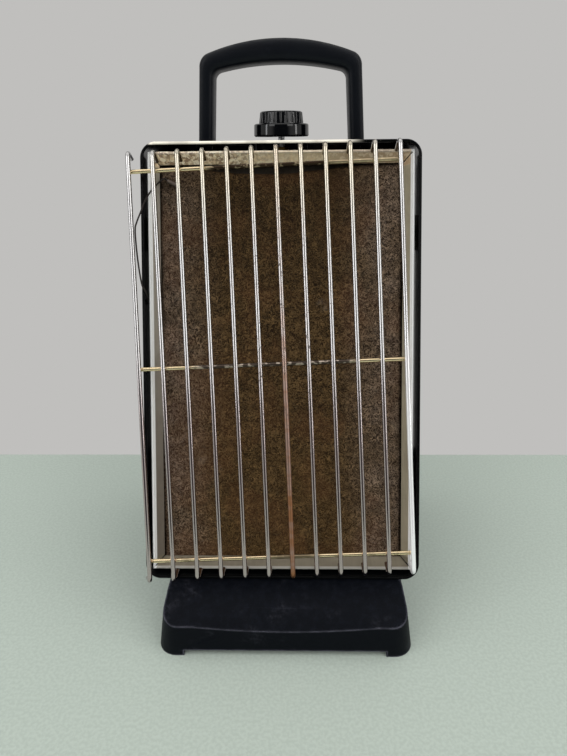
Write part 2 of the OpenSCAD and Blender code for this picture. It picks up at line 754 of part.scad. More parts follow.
module knob() {
  hub_r = 7;
  flute_r = 1;
  top_draw = 0.9;
  color("#08090b") on_axis(knob_low) difference() {
    union() {
      difference() {
        rotate_extrude($fn = 96) polygon([
          [0, 0], [knob_r - 1, 0], [knob_r, 1], [knob_r - 0.2, knob_skirt_h - 0.8],
          [knob_r - 1, knob_skirt_h], [knob_grip_r, knob_skirt_h],
          [knob_grip_r - top_draw, knob_skirt_h + knob_grip_h - 0.8],
          [knob_grip_r - top_draw - 0.8, knob_skirt_h + knob_grip_h], [0, knob_skirt_h + knob_grip_h]
        ]);
        for (i = [0:flute_n - 1]) rotate([0, 0, i * 360 / flute_n])
          translate([knob_grip_r - 0.1, 0, knob_skirt_h + 0.4]) cylinder(r = flute_r, h = knob_grip_h + 1);
      }
    }
    translate([0, 0, -1]) difference() {
      cylinder(r = knob_r - 3, h = 4);
      translate([0, 0, -1]) cylinder(r = hub_r, h = 6);
    }
    translate([0, 0, -1]) cylinder(r = stem_r + 0.02, h = knob_skirt_h + 1.5);
    translate([0, 0, knob_skirt_h / 2 + 1.5]) rotate([90, 0, 180]) cylinder(r = m3_r + 0.02, h = knob_r + 1);
  }
}

module knob_set_screw() {
  color("#5c5e60") on_axis(knob_low + knob_skirt_h / 2 + 1.5) rotate([-90, 0, 0])
    translate([0, 0, stem_r + 0.1]) difference() {
      cylinder(r = m3_r, h = 6);
      translate([0, 0, 4.6]) cube([4, 0.6, 3], center = true);
    }
}

module gas_riser() {
  color("#b08d3e") on_axis(reg_top + 0.05) {
    cylinder(r = riser_r, h = valve_low - reg_top - 0.1);
    translate([0, 0, 4]) cylinder(d = 19 / cos(30), h = 8, $fn = 6);
  }
}

reg_bolt_n = 6;
reg_bolt_r = reg_r - 4;

module regulator_body() {
  color("#8f9294") on_axis(reg_top - cover_h - reg_h) difference() {
    union() {
      cylinder(r = reg_r, h = 5);
      translate([0, 0, 11]) cylinder(r = reg_r, h = 5 - 0.05);
      cylinder(r = reg_r - 7, h = reg_h - 0.05);
      for (i = [0:reg_bolt_n - 1]) rotate([0, 0, i * 360 / reg_bolt_n]) translate([reg_bolt_r, 0, 0])
        cylinder(r = 3.6, h = reg_h - 0.05);
    }
    for (i = [0:reg_bolt_n - 1]) rotate([0, 0, i * 360 / reg_bolt_n])
      translate([reg_bolt_r, 0, reg_h - 8]) cylinder(r = m3_r + e, h = 10);
  }
}

module regulator_cover() {
  color("#a7a9aa") on_axis(reg_top - cover_h) difference() {
    rotate_extrude($fn = 96) polygon([
      [0, 0], [reg_r, 0], [reg_r, 2.5], [reg_r - 8, 2.5], [reg_r - 9.5, cover_h - 1.5],
      [reg_r - 11, cover_h], [0, cover_h]
    ]);
    for (i = [0:reg_bolt_n - 1]) rotate([0, 0, i * 360 / reg_bolt_n]) translate([reg_bolt_r, 0, -1])
      cylinder(r = m3_r + shank_gap, h = 10);
    translate([reg_r - 13.5, 0, cover_h - 2]) cylinder(r = 0.8, h = 5);
  }
}

module regulator_screws() {
  color("#8c8f92") on_axis(reg_top - cover_h + 2.5) for (i = [0:reg_bolt_n - 1])
    rotate([0, 0, i * 360 / reg_bolt_n]) translate([reg_bolt_r, 0, 0]) screw(m3_r, m3_head_r, 9);
}

module inlet_socket() {
  color("#b08d3e") on_axis(inlet_mouth) difference() {
    union() {
      cylinder(r = socket_r, h = socket_h - 0.05);
      translate([0, 0, inlet_deep + 4]) cylinder(d = 38 / cos(30), h = 7, $fn = 6);
    }
    translate([0, 0, -e]) cylinder(r = inlet_r, h = inlet_deep + e);
    translate([0, 0, inlet_deep - e]) cylinder(r = 8.5, h = 3);
    translate([0, 0, inlet_deep]) cylinder(r = 2, h = socket_h);
  }
}

module inlet_seal() {
  color("#1b1b1b") on_axis(inlet_mouth + inlet_deep + 0.6) difference() {
    cylinder(r = 8.3, h = 2.2);
    translate([0, 0, -1]) cylinder(r = 3.5, h = 5);
  }
}

module gas_jet() {
  color("#c2a14d") on_face() translate([0, outlet_in - 15 - 5, outlet_v]) rotate([-90, 0, 0]) difference() {
    union() {
      cylinder(d = 7 / cos(30), h = 4.9, $fn = 6);
      cylinder(r = 3, h = 10);
    }
    translate([0, 0, -1]) cylinder(r = 0.4, h = 20);
  }
}

module mixer_tube() {
  tube_r = mixer_r;
  tube_end = outlet_in - 16;
  inside = pan_back - sheet_t - 1.6;
  color("#a2a4a3") on_face() translate([0, inside, outlet_v]) rotate([-90, 0, 0]) difference() {
    union() {
      cylinder(r = tube_r, h = tube_end - inside);
      translate([0, 0, pan_back - inside + 0.05]) cylinder(r = tube_r + 5, h = 1.2);
    }
    translate([0, 0, -1]) cylinder(r = tube_r - 1.2, h = 60);
    for (a = [0, 90]) translate([0, 0, pan_back - inside + 5]) rotate([90, 0, a])
      cylinder(r = 1.8, h = 40, center = true);
  }
}

// Route of the thermocouple lead from the sensing tip to the valve's side: each point's distance
// from the case's left side, into the case and below the case's top
lead_points = [
  [16.5, 12.1, 24], [13.5, 12.1, 22.5], [8.5, 7.6, 29], [4.8, 2.2, 36.5], [2.2, -1.3, 43.5],
  [0.4, -2.8, 49.5], [-2.8, -4.2, 58.5], [-3.8, -4.8, 64.5], [-2.9, -4.4, 80], [-1.4, -3.6, 94],
  [0.1, -2.8, 103.5], [1.8, -1.9, 107], [2.55, 0.6, 110.5], [2.55, 5, 113], [2.55, 20, 115],
  [2.6, 32, 110], [7, 43, 95], [20, 50, 71], [40, 54, 47], [60, 54, 32]
];
lead_route = [for (p = lead_points) [p[0] - case_w / 2, p[1], face_h - p[2]]];
lead_end_z = valve_low + 28;
lead_end = [
  -valve_r - 17,
  (axis_y - case_set) * cos(lean) - (lead_end_z - base_h) * sin(lean),
  (axis_y - case_set) * sin(lean) + (lead_end_z - base_h) * cos(lean)
];
lead_line = concat(lead_route, [lead_end + [-6, 0, 0], lead_end]);

// Points on a smooth curve through four neighbours
function spline(a, b, c, d, t) = 0.5 * (
  2 * b + (c - a) * t + (2 * a - 5 * b + 4 * c - d) * t * t + (3 * b - a - 3 * c + d) * t * t * t
);
function smooth_line(p, n) = let (last = len(p) - 1) concat(
  [for (i = [0:last - 1], k = [0:n - 1])
    spline(p[max(i - 1, 0)], p[i], p[i + 1], p[min(i + 2, last)], k / n)],
  [p[last]]
);
function unit(v) = v / norm(v);
lead_sides = 8;

// Rings square to the line, kept from twisting by one fixed side direction
function tube_rings(p, r) = let (last = len(p) - 1) [for (i = [0:last])
  let (
    t = unit(p[min(i + 1, last)] - p[max(i - 1, 0)]),
    side = unit(cross(t, [0.2, 1, 0.1])),
    up = cross(side, t)
  ) [for (k = [0:lead_sides - 1]) p[i] + r * (side * cos(360 * k / lead_sides) + up * sin(360 * k / lead_sides))]
];

module thermocouple_lead() {
  color("#2a211c") on_face() skin(tube_rings(smooth_line(lead_line, 3), lead_r));
}

module thermocouple_tip() {
  length = 9;
  tip = lead_route[0];
  turn = atan2(lead_route[1][2] - tip[2], lead_route[1][0] - tip[0]);
  color("#6b5a45") on_face() translate(tip) rotate([0, -turn, 0]) rotate([0, 90, 0])
    translate([0, 0, -0.3]) mirror([0, 0, 1]) {
      cylinder(r = tip_r, h = length);
      translate([0, 0, length]) sphere(tip_r);
    }
}

module thermocouple_nut() {
  color("#b08d3e") on_axis(lead_end_z) rotate([0, -90, 0]) translate([0, 0, valve_r + 5.1]) difference() {
    cylinder(d = 8 / cos(30), h = 11.8, $fn = 6);
    translate([0, 0, 5.8]) cylinder(r = lead_r + 0.1, h = 10);
  }
}

base();
base_screws();
case_wrapper();
pad_frame();
catalyst_pad();
pad_screen();
burner_pan();
gas_spreader();
pan_brackets();
bracket_screws();
case_side_screws();
heat_shield();
shield_spacers();
shield_screws();
guard_bars();
guard_rods();
handle();
handle_screws();
valve_bracket();
valve_body();
bonnet_nut();
safety_plunger();
valve_stem();
knob();
knob_set_screw();
gas_riser();
regulator_body();
regulator_cover();
regulator_screws();
inlet_socket();
inlet_seal();
gas_jet();
mixer_tube();
thermocouple_lead();
thermocouple_tip();
thermocouple_nut();
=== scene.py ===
"""Dresses the catalytic heater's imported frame: finishes, pad, handle, sensor lead and studio."""

import json
import logging
import math
import random
from dataclasses import dataclass
from enum import Enum
from typing import Mapping, Optional, Sequence, Union

import bpy
from mathutils import Matrix, Vector, noise

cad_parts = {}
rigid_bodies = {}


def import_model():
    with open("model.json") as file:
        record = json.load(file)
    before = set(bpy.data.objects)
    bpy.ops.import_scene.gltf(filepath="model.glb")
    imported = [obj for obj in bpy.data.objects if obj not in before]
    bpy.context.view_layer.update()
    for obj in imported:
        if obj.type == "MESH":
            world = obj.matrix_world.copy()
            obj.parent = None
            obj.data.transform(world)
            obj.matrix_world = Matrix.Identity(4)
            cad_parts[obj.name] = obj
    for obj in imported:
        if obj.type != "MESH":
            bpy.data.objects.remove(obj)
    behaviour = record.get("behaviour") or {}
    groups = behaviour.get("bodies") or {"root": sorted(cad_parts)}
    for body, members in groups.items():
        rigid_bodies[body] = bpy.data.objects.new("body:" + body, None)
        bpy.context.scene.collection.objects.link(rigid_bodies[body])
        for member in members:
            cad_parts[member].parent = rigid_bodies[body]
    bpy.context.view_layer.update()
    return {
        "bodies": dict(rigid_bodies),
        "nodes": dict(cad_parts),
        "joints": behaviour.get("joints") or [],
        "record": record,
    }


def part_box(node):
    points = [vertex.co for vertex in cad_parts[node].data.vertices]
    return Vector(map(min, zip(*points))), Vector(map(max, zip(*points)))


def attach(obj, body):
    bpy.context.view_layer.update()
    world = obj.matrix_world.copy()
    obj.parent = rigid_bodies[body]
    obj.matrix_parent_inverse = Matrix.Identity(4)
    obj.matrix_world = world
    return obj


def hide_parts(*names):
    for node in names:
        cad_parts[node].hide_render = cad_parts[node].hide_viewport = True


LOG = logging.getLogger("heater")
MM = 0.001
BODY = "heater"
SEED = 7
LEAN = math.radians(19.75)
# The face's origin, in millimetres behind and above the case's lowest front corner.
SEAT_BEHIND = 1.1
SEAT_ABOVE = 0.6
# The rounding in millimetres of a node's edges where ROUNDING gives none.
SMALL_ROUNDING = 0.15

Colour = tuple[float, float, float]
# Where a mask is 0 and where it is 1.
Zone = tuple[float, float]
Value = Union["Socket", float, int]
Field = Union["Socket", float, int, Sequence[float]]


def srgb(red: int, green: int, blue: int) -> Colour:
    """Turns a colour written as 0 to 255 display values into linear light.

    Args:
        red: display red.
        green: display green.
        blue: display blue.

    Returns:
        The linear colour.
    """
    def linear(level: float) -> float:
        """Returns one channel in linear light."""
        part = level / 255
        return part / 12.92 if part <= 0.04045 else ((part + 0.055) / 1.055) ** 2.4

    return (linear(red), linear(green), linear(blue))


def smooth(low: float, high: float, at: float) -> float:
    """Eases from 0 at low to 1 at high.

    Args:
        low: where the result is 0.
        high: where the result is 1.
        at: the place asked for.

    Returns:
        The eased share.
    """
    part = min(max((at - low) / (high - low), 0.0), 1.0)
    return part * part * (3 - 2 * part)


# Shader maths


class Socket:
    """One output of a node. Arithmetic on it adds the Math nodes that work it out."""

    def __init__(self, shader: "Shader", port: Optional[bpy.types.NodeSocket]) -> None:
        """Keeps the shader that the port belongs to, and the port."""
        self.shader = shader
        self.port = port

    def calc(self, operation: str, left: Value, right: Value = 0.0) -> "Socket":
        """Adds one Math node.

        Args:
            operation: the Math node's operation.
            left: first value or link.
            right: second value or link.

        Returns:
            The node's output.
        """
        return self.shader.node("ShaderNodeMath", {0: left, 1: right}, operation=operation)

    def __add__(self, other: Value) -> "Socket":
        """Returns self + other."""
        return self.calc("ADD", self, other)

    def __radd__(self, other: Value) -> "Socket":
        """Returns other + self."""
        return self.calc("ADD", other, self)

    def __sub__(self, other: Value) -> "Socket":
        """Returns self - other."""
        return self.calc("SUBTRACT", self, other)

    def __rsub__(self, other: Value) -> "Socket":
        """Returns other - self."""
        return self.calc("SUBTRACT", other, self)

    def __mul__(self, other: Value) -> "Socket":
        """Returns self * other."""
        return self.calc("MULTIPLY", self, other)

    def __rmul__(self, other: Value) -> "Socket":
        """Returns other * self."""
        return self.calc("MULTIPLY", other, self)

    def __abs__(self) -> "Socket":
        """Returns the size of self."""
        return self.calc("ABSOLUTE", self)

    def at_least(self, other: Value) -> "Socket":
        """Returns the larger of self and other."""
        return self.calc("MAXIMUM", self, other)

    def at_most(self, other: Value) -> "Socket":
        """Returns the smaller of self and other."""
        return self.calc("MINIMUM", self, other)

    def step(self, low: float, high: float) -> "Socket":
        """Eases from 0 at low to 1 at high.

        Args:
            low: value that becomes 0.
            high: value that becomes 1.

        Returns:
            The eased mask.
        """
        inputs = {0: self, 1: low, 2: high, 3: 0.0, 4: 1.0}
        return self.shader.node("ShaderNodeMapRange", inputs, interpolation_type="SMOOTHSTEP", clamp=True)


class Blend(Enum):
    """Ways of laying one colour over another."""

    OVER = "MIX"
    DARKEN = "MULTIPLY"


class Shader:
    """A material under construction. Every node comes from its node method."""

    def __init__(self, tree: bpy.types.NodeTree) -> None:
        """Empties the tree and keeps it."""
        self.tree = tree
        self.tree.nodes.clear()

    def node(
        self,
        kind: str,
        inputs: Optional[Mapping[Union[int, str], Field]] = None,
        output: Union[int, str] = 0,
        **settings: object,
    ) -> Socket:
        """Adds a node, sets it up and feeds its sockets.

        Args:
            kind: the node's type.
            inputs: value or link for each input, by number or name.
            output: the output that is wanted.
            settings: the node's own properties, set first.

        Returns:
            The wanted output.
        """
        made = self.tree.nodes.new(kind)
        for name, setting in settings.items():
            setattr(made, name, setting)
        for name, value in (inputs or {}).items():
            if isinstance(value, Socket):
                self.tree.links.new(value.port, made.inputs[name])
            else:
                made.inputs[name].default_value = value
        return Socket(self, made.outputs[output] if len(made.outputs) else None)

    def place(self, stretch: Sequence[float] = (1, 1, 1), turn: Sequence[float] = (0, 0, 0)) -> Socket:
        """Returns the point on the object, in millimetres.

        Args:
            stretch: how much closer together a pattern lies along each axis.
            turn: rotation of the pattern, in radians.

        Returns:
            The mapped coordinates.
        """
        point = self.node("ShaderNodeTexCoord", output="Object")
        inputs = {"Vector": point, "Scale": tuple(s / MM for s in stretch), "Rotation": tuple(turn)}
        return self.node("ShaderNodeMapping", inputs)

    def axes(self) -> tuple[Socket, Socket, Socket]:
        """Returns the point's three coordinates in millimetres."""
        point = self.place()
        return tuple(self.node("ShaderNodeSeparateXYZ", {0: point}, output=i) for i in range(3))

    def facing_up(self) -> Socket:
        """Returns the upward part of the surface's direction."""
        normal = self.node("ShaderNodeNewGeometry", output="Normal")
        return self.node("ShaderNodeSeparateXYZ", {0: normal}, output=2)

    def edge_highlight_mask(self, width: float = 2.2) -> Socket:
        """Returns a mask of the edges, where a painted highlight is laid, partly standing for rubbing from
        handling.

        Args:
            width: reach of the painted edge highlight from an edge, in millimetres.

        Returns:
            The mask.
        """
        eased = self.node("ShaderNodeBevel", {"Radius": width * MM}, samples=6)
        plain = self.node("ShaderNodeNewGeometry", output="True Normal")
        inputs = {0: eased, 1: plain}
        along = self.node("ShaderNodeVectorMath", inputs, output="Value", operation="DOT_PRODUCT")
        no_edge_highlight, full_edge_highlight = 0.01, 0.07
        return (1.0 - along).step(no_edge_highlight, full_edge_highlight)

    def cloud(
        self, size: float, detail: float = 3.0, stretch: Sequence[float] = (1, 1, 1),
        warp: float = 0.0, turn: Sequence[float] = (0, 0, 0),
    ) -> Socket:
        """Returns soft noise about 0.5.

        Args:
            size: size of its blotches in millimetres.
            detail: number of finer layers.
            stretch: stretch of the pattern along each axis.
            warp: how much it swirls.
            turn: rotation of the pattern, in radians.

        Returns:
            The noise.
        """
        place = self.place(stretch, turn)
        inputs = {"Vector": place, "Scale": 1.0 / size, "Detail": detail, "Distortion": warp}
        return self.node("ShaderNodeTexNoise", inputs)

    def cells(
        self, size: float, feature: str = "DISTANCE_TO_EDGE", place: Optional[Socket] = None,
    ) -> Socket:
        """Returns a cell pattern.

        Args:
            size: size of a cell in millimetres.
            feature: which measure of the cells is wanted.
            place: coordinates to use in place of the plain ones.

        Returns:
            The cell measure.
        """
        inputs = {"Vector": place or self.place(), "Scale": 1.0 / size}
        return self.node("ShaderNodeTexVoronoi", inputs, feature=feature)

    def mix(self, share: Field, under: Field, over: Field, blend: Blend = Blend.OVER) -> Socket:
        """Lays one colour over another.

        Args:
            share: how much of the upper colour shows.
            under: colour underneath.
            over: colour on top.
            blend: way of laying it on.

        Returns:
            The mixed colour.
        """
        def full(colour: Field) -> Field:
            """Returns a written colour with its alpha."""
            return colour if isinstance(colour, Socket) else (*colour, 1.0)

        inputs = {0: share, 6: full(under), 7: full(over)}
        return self.node("ShaderNodeMix", inputs, output=2, data_type="RGBA", blend_type=blend.value)

    def bump(self, height: Value, depth: float) -> Socket:
        """Returns a surface direction with relief on it.

        Args:
            height: relief from 0 to 1.
            depth: depth of the relief in millimetres.

        Returns:
            The direction.
        """
        inputs = {"Height": height, "Distance": depth * MM, "Strength": 1.0}
        return self.node("ShaderNodeBump", inputs)

    def surface(self, **inputs: Value) -> None:
        """Finishes the material with one surface shader.

        Args:
            inputs: the shader's sockets, with _ for a space in a name.
        """
        named = {name.replace("_", " "): value for name, value in inputs.items()}
        bsdf = self.node("ShaderNodeBsdfPrincipled", named)
        self.node("ShaderNodeOutputMaterial", {"Surface": bsdf})


# Finishes


@dataclass(frozen=True)
class Finish:
    """A finish that pieces share. Its dress method lays out the shader."""

    name: str

    def dress(self, shader: Shader) -> None:
        """Lays out the shader's nodes.

        Args:
            shader: the material to fill.
        """
        raise NotImplementedError

    def material(self) -> bpy.types.Material:
        """Makes the finish's material the first time it is asked for.

        Returns:
            The material.
        """
        label = f"{self.name}_finish"
        made = bpy.data.materials.get(label)
        if made is None:
            made = bpy.data.materials.new(label)
            made.use_nodes = True
            self.dress(Shader(made.node_tree))
        return made


@dataclass(frozen=True)
class GrainedPlastic(Finish):
    """Dark moulded plastic with a pebbled grain, dusty on top with a painted sheen there, and pale along
    its edges with a painted highlight, partly rubbing.
    """

    colour: Colour = srgb(8, 12, 19)
    # Pale grey of the painted edge highlight and of the rubbing patches.
    highlight_and_rub: Colour = srgb(122, 122, 134)
    # Lavender grey of the dust, partly a painted sheen on upward faces.
    dust: Colour = srgb(54, 58, 70)
    grain: float = 0.9
    depth: float = 0.05
    gloss: float = 0.42
    shine: float = 0.07
    dust_and_sheen_share: float = 0.1
    edge_highlight_and_rub: float = 0.55

    def dress(self, shader: Shader) -> None:
        """Lays out the grain, the painted highlight along the edges with some rubbing, the pale rubbing
        patches, and the dust, partly a painted sheen on top.

        Args:
            shader: the material to fill.
        """
        pebble = shader.cells(self.grain).step(0.02, 0.3)
        fine = shader.cloud(0.25, 2.0)
        patch = shader.cloud(26.0, 4.0, warp=0.6).step(0.52, 0.78) * shader.cloud(3.0, 2.0).step(0.35, 0.7)
        # Pale band along the edges: a painted highlight of the rounded edges and the front rim line, partly
        # rubbing from handling.
        edge = shader.edge_highlight_mask() * (0.45 + 0.55 * shader.cloud(7.0, 4.0).step(0.35, 0.65))
        # Upward faces: dust, partly a painted sheen from the light above.
        dust_and_sheen = shader.facing_up().step(0.25, 0.95) * shader.cloud(5.0, 5.0).step(0.42, 0.75)
        tinted = shader.mix((patch * 0.12 + edge * self.edge_highlight_and_rub).at_most(1.0), self.colour, self.highlight_and_rub)
        speck = shader.cells(2.4, "F1").step(0.14, 0.05) * shader.cloud(9.0).step(0.5, 0.62) * 0.16
        dust_and_sheen_laid = shader.mix(dust_and_sheen * self.dust_and_sheen_share + speck, tinted, self.dust)
        shade = shader.mix(0.6, dust_and_sheen_laid, shader.mix(pebble, (0.35, 0.35, 0.4), (1, 1, 1)), Blend.DARKEN)
        relief = shader.bump(pebble * 0.8 + fine * 0.2, self.depth)
        rough = self.gloss + 0.12 * shader.cloud(12.0, 3.0) + dust_and_sheen * 0.2
        shader.surface(Base_Color=shade, Roughness=rough, Normal=relief, Specular_IOR_Level=self.shine)


@dataclass(frozen=True)
class GlossEnamel(Finish):
    """Black gloss enamel with wipe marks and pin specks, and a painted highlight line along its top front
    hem.
    """

    hem_x: float
    hem_y: float
    hem_z: float
    hem_deep: Zone = (3.0, 2.0)
    hem_up: Zone = (-2.3, -1.6)
    # Where the painted hem highlight sets in on the left and fades out on the right.
    highlight_left: Zone = (-98.0, -94.0)
    highlight_right: Zone = (62.0, 44.0)
    colour: Colour = srgb(3, 4, 5)
    film: Colour = srgb(12, 13, 15)
    chip: Colour = srgb(120, 116, 106)
    # Near white of the painted highlight along the top front hem.
    hem_highlight: Colour = srgb(250, 244, 228)
    gloss: float = 0.13

    def dress(self, shader: Shader) -> None:
        """Lays out the smears, the specks and the painted highlight line along the hem.

        Args:
            shader: the material to fill.
        """
        x, y, z = shader.axes()
        smear = shader.cloud(34.0, 5.0, stretch=(1, 1, 0.25), warp=1.2).step(0.45, 0.8)
        speck = shader.cells(3.1, "F1").step(0.1, 0.03) * shader.cloud(14.0).step(0.46, 0.6)
        scratch = shader.cloud(1.0, 2.0, stretch=(1, 0.02, 1), turn=(0.3, 0.2, 0.5)).step(0.74, 0.8)
        tinted = shader.mix(smear * 0.25, self.colour, self.film)
        chipped = shader.mix((speck * 0.4 + scratch * 0.1).at_most(1.0), tinted, self.chip)
        # The near-white line along the top front hem is a painted highlight that fades out towards the
        # right.
        hem = abs(y - self.hem_y).step(*self.hem_deep) * (z - self.hem_z).step(*self.hem_up)
        highlight_span = (x - self.hem_x).step(*self.highlight_right) * (x - self.hem_x).step(*self.highlight_left)
        hem_highlight = hem * highlight_span * (0.7 + 0.3 * shader.cloud(18.0, 4.0, stretch=(1, 0.2, 0.2)).step(0.3, 0.55))
        highlight_and_rub = shader.mix(hem_highlight, chipped, self.hem_highlight)
        rough = self.gloss + smear * 0.1 + scratch * 0.15 + hem_highlight * 0.15
        shader.surface(Base_Color=highlight_and_rub, Roughness=rough, Specular_IOR_Level=0.1)


@dataclass(frozen=True)
class SlopeSpan:
    """Where the burner frame lies, for finishes that change from side to side."""

    middle_x: float
    front_y: float
    seat_z: float
    lean: float
    half_w: float
    low_v: float
    high_v: float

    def coordinates(self, shader: Shader) -> tuple[Socket, Socket]:
        """Returns the place across and up the sloped face, in millimetres.

        Args:
            shader: the material that needs them.

        Returns:
            The place across from the middle, and the place up the face.
        """
        x, y, z = shader.axes()
        up = (y - self.front_y) * math.sin(self.lean) + (z - self.seat_z) * math.cos(self.lean)
        return x - self.middle_x, up


@dataclass(frozen=True)
class HeatTintedSteel(Finish):
    """Bright frame steel, tinted tan by heat along the top, dulled on the flanges, its lip painted near
    white as a highlight, with painted glints and sheen on the top flange.
    """

    span: SlopeSpan
    # Near white of the painted highlight on the lip.
    bright: Colour = srgb(248, 248, 246)
    left: Colour = srgb(172, 165, 152)
    right: Colour = srgb(184, 174, 150)
    low: Colour = srgb(138, 130, 112)
    tan: Colour = srgb(255, 230, 190)
    soot: Colour = srgb(92, 78, 66)
    scorch: Colour = srgb(140, 104, 78)
    rust: Colour = srgb(92, 50, 22)
    # Colour of the painted glints and the painted sheen on the top flange.
    gleam: Colour = srgb(255, 240, 212)
    lip: float = 1.9
    side_lip: float = 2.7
    lip_fade: Zone = (-0.25, 0.1)
    top_flange: Zone = (-10.5, -8.5)
    low_flange: Zone = (9.5, 8.0)
    inner_edge: Zone = (-6.0, -8.2)
    right_half: Zone = (-10.0, 10.0)
    sooty_up: Zone = (240.0, 60.0)
    sooty_left: Zone = (-10.0, -40.0)
    heated_left: Zone = (10.0, -45.0)
    dulled_right: Zone = (10.0, 70.0)
    rusty_reach: Zone = (78.0, 52.0)
    rusty_middle: float = -6.0
    gleaming_left: Zone = (10.0, -50.0)

    def dress(self, shader: Shader) -> None:
        """Lays out the tint by side, the brushed streaks, rust at the top's inner edge, the painted glints
        and sheen on the top flange, and the lip's painted highlight.

        Args:
            shader: the material to fill.
        """
        across, up = self.span.coordinates(shader)
        from_top, from_low = up - self.span.high_v, up - self.span.low_v
        lip = (abs(across) - (self.span.half_w - self.side_lip)).step(*self.lip_fade)
        ends_lip = (from_top + self.lip).at_least(self.lip - from_low)
        rim = ends_lip.step(*self.lip_fade) * (1.0 - lip)
        top = from_top.step(*self.top_flange)
        bottom = from_low.step(*self.low_flange)
        streak = shader.cloud(0.7, 3.0, stretch=(1, 0.05, 0.05)).step(0.25, 0.75)
        broad = shader.cloud(5.0, 3.0, stretch=(1, 0.1, 0.1)).step(0.3, 0.7)
        stain = shader.cloud(16.0, 5.0, warp=0.8).step(0.42, 0.75)
        sides = shader.mix(across.step(*self.right_half), self.left, self.right)
        sooty = up.step(*self.sooty_up) * across.step(*self.sooty_left) * 0.55
        aged = shader.mix(sooty, sides, self.soot)
        ends = shader.mix(bottom, shader.mix(top, aged, self.tan), self.low)
        mottle = shader.cloud(3.2, 4.0, warp=0.5).step(0.38, 0.62)
        mottled = top * mottle * (0.12 + 0.68 * across.step(*self.heated_left))
        heated = shader.mix(mottled, ends, self.scorch)
        dulled = shader.mix(top * across.step(*self.dulled_right) * 0.6, heated, self.scorch)
        stained = shader.mix(stain * 0.22, dulled, self.soot)
        near = from_top.step(*self.inner_edge) * top
        hot = abs(across - self.rusty_middle).step(*self.rusty_reach)
        burnt = near * hot * shader.cloud(6.0, 4.0, stretch=(1, 0.3, 0.3)).step(0.4, 0.58)
        rusty = shader.mix(burnt * 0.9, stained, self.rust)
        tone = shader.mix(streak * 0.4 + broad * 0.6, (0.5, 0.46, 0.42), (1, 1, 1))
        lined = shader.mix(0.3 + top * 0.15, rusty, tone, Blend.DARKEN)
        # Painted glints along the top flange's inner edge.
        glint = near * (1.0 - burnt) * shader.cloud(1.4, 2.0, stretch=(1, 0.3, 0.3)).step(0.55, 0.66)
        gleaming = shader.mix(glint * 0.6, lined, self.gleam)
        patches = shader.cloud(2.6, 4.0, warp=0.6).step(0.5, 0.58)
        # Painted sheen in patches over the top flange, stronger at the left.
        sheen = top * (0.35 + 0.65 * across.step(*self.gleaming_left)) * patches
        glowing = shader.mix(sheen, gleaming, self.gleam)
        # The lip and the frame's top and bottom ends are painted near white: a painted highlight on the
        # rolled lip.
        lip_highlit = shader.mix(lip + rim * (0.35 - top * 0.15), glowing, self.bright)
        rough = 0.42 + stain * 0.15 + burnt * 0.25 - lip * 0.22
        metal = 0.3 - top * 0.25 - lip * 0.3
        relief = shader.bump(streak * (1.0 - lip), 0.008)
        shader.surface(Base_Color=lip_highlit, Metallic=metal, Roughness=rough, Normal=relief)


@dataclass(frozen=True)
class CatalystFelt(Finish):
    """Brown felted fibre with curled lighter strands, their contrast partly painted highlight and shade of
    the relief, olive in the middle and greyer at the sides.
    """

    span: SlopeSpan
    # Colour between the curls: the fibre's own, partly a painted shade.
    deep: Colour = srgb(29, 20, 10)
    fibre: Colour = srgb(122, 96, 62)
    side_deep: Colour = srgb(42, 33, 27)
    side_fibre: Colour = srgb(160, 138, 118)
    ash: Colour = srgb(150, 134, 116)
    gold: Colour = srgb(104, 78, 38)
    ruddy: Colour = srgb(112, 70, 46)
    middle_x: float = -2.0
    ashy_sides: Zone = (38.0, 84.0)
    golden_up: Zone = (150.0, 40.0)
    scorched_up: Zone = (170.0, 290.0)

    def dress(self, shader: Shader) -> None:
        """Lays out the curled strands in three sizes, their light and shade partly painted, the scorching
        and the ashy sides.

        Args:
            shader: the material to fill.
        """
        def strands(size: float, detail: float, warp: float, level: float, thinness: float) -> Socket:
            """Returns the thin lines along which a cloud is at a level."""
            away = abs(shader.cloud(size, detail, warp=warp) - level)
            return 1.0 - (away * thinness).at_most(1.0)

        across, up = self.span.coordinates(shader)
        curls = strands(5.0, 1.0, 2.4, 0.5, 15.0)
        finer = strands(3.0, 1.0, 1.8, 0.46, 12.0)
        hairs = strands(1.1, 3.0, 1.6, 0.48, 7.0)
        clump = shader.cloud(6.0, 4.0, warp=0.4).step(0.3, 0.7)
        patch = shader.cloud(34.0, 4.0, warp=0.5).step(0.4, 0.66)
        coarse = curls.at_least(finer * 0.85).step(0.05, 0.9)
        # Contrast of the curls: partly the fibre's own colour, partly a painted highlight on them and
        # painted shade between them.
        strand_and_highlight = (coarse * 0.88 + hairs * 0.12) * (0.5 + 0.5 * clump)
        blotch = shader.cloud(20.0, 4.0).step(0.3, 0.7)
        side = abs(across - self.middle_x).step(*self.ashy_sides) * (0.55 + 0.45 * blotch)
        middle = shader.mix(strand_and_highlight, self.deep, self.fibre)
        edges = shader.mix(strand_and_highlight, self.side_deep, self.side_fibre)
        felt = shader.mix(side, middle, edges)
        oiled = up.step(*self.golden_up) * (0.5 + 0.5 * patch) * (1.0 - side)
        golden = shader.mix(oiled * 0.16, felt, self.gold)
        spot = shader.cells(52.0, "F1", shader.place(turn=(0.4, 0.9, 0.2))).step(0.13, 0.03) * clump
        ashy = shader.mix(spot * 0.35, golden, self.ash)
        hot = (up.step(*self.scorched_up) * (1.0 - side) * 0.35 + (1.0 - patch) * 0.1).at_most(1.0)
        reddened = shader.cloud(42.0, 3.0, warp=0.4).step(0.45, 0.62)
        ruddy = shader.mix(reddened * 0.16, ashy, self.ruddy)
        scorch = shader.mix(hot, ruddy, self.deep)
        relief = shader.bump(curls * 0.5 + finer * 0.35 + hairs * 0.3, 0.45)
        shader.surface(Base_Color=scorch, Roughness=0.95, Normal=relief, Specular_IOR_Level=0.1)


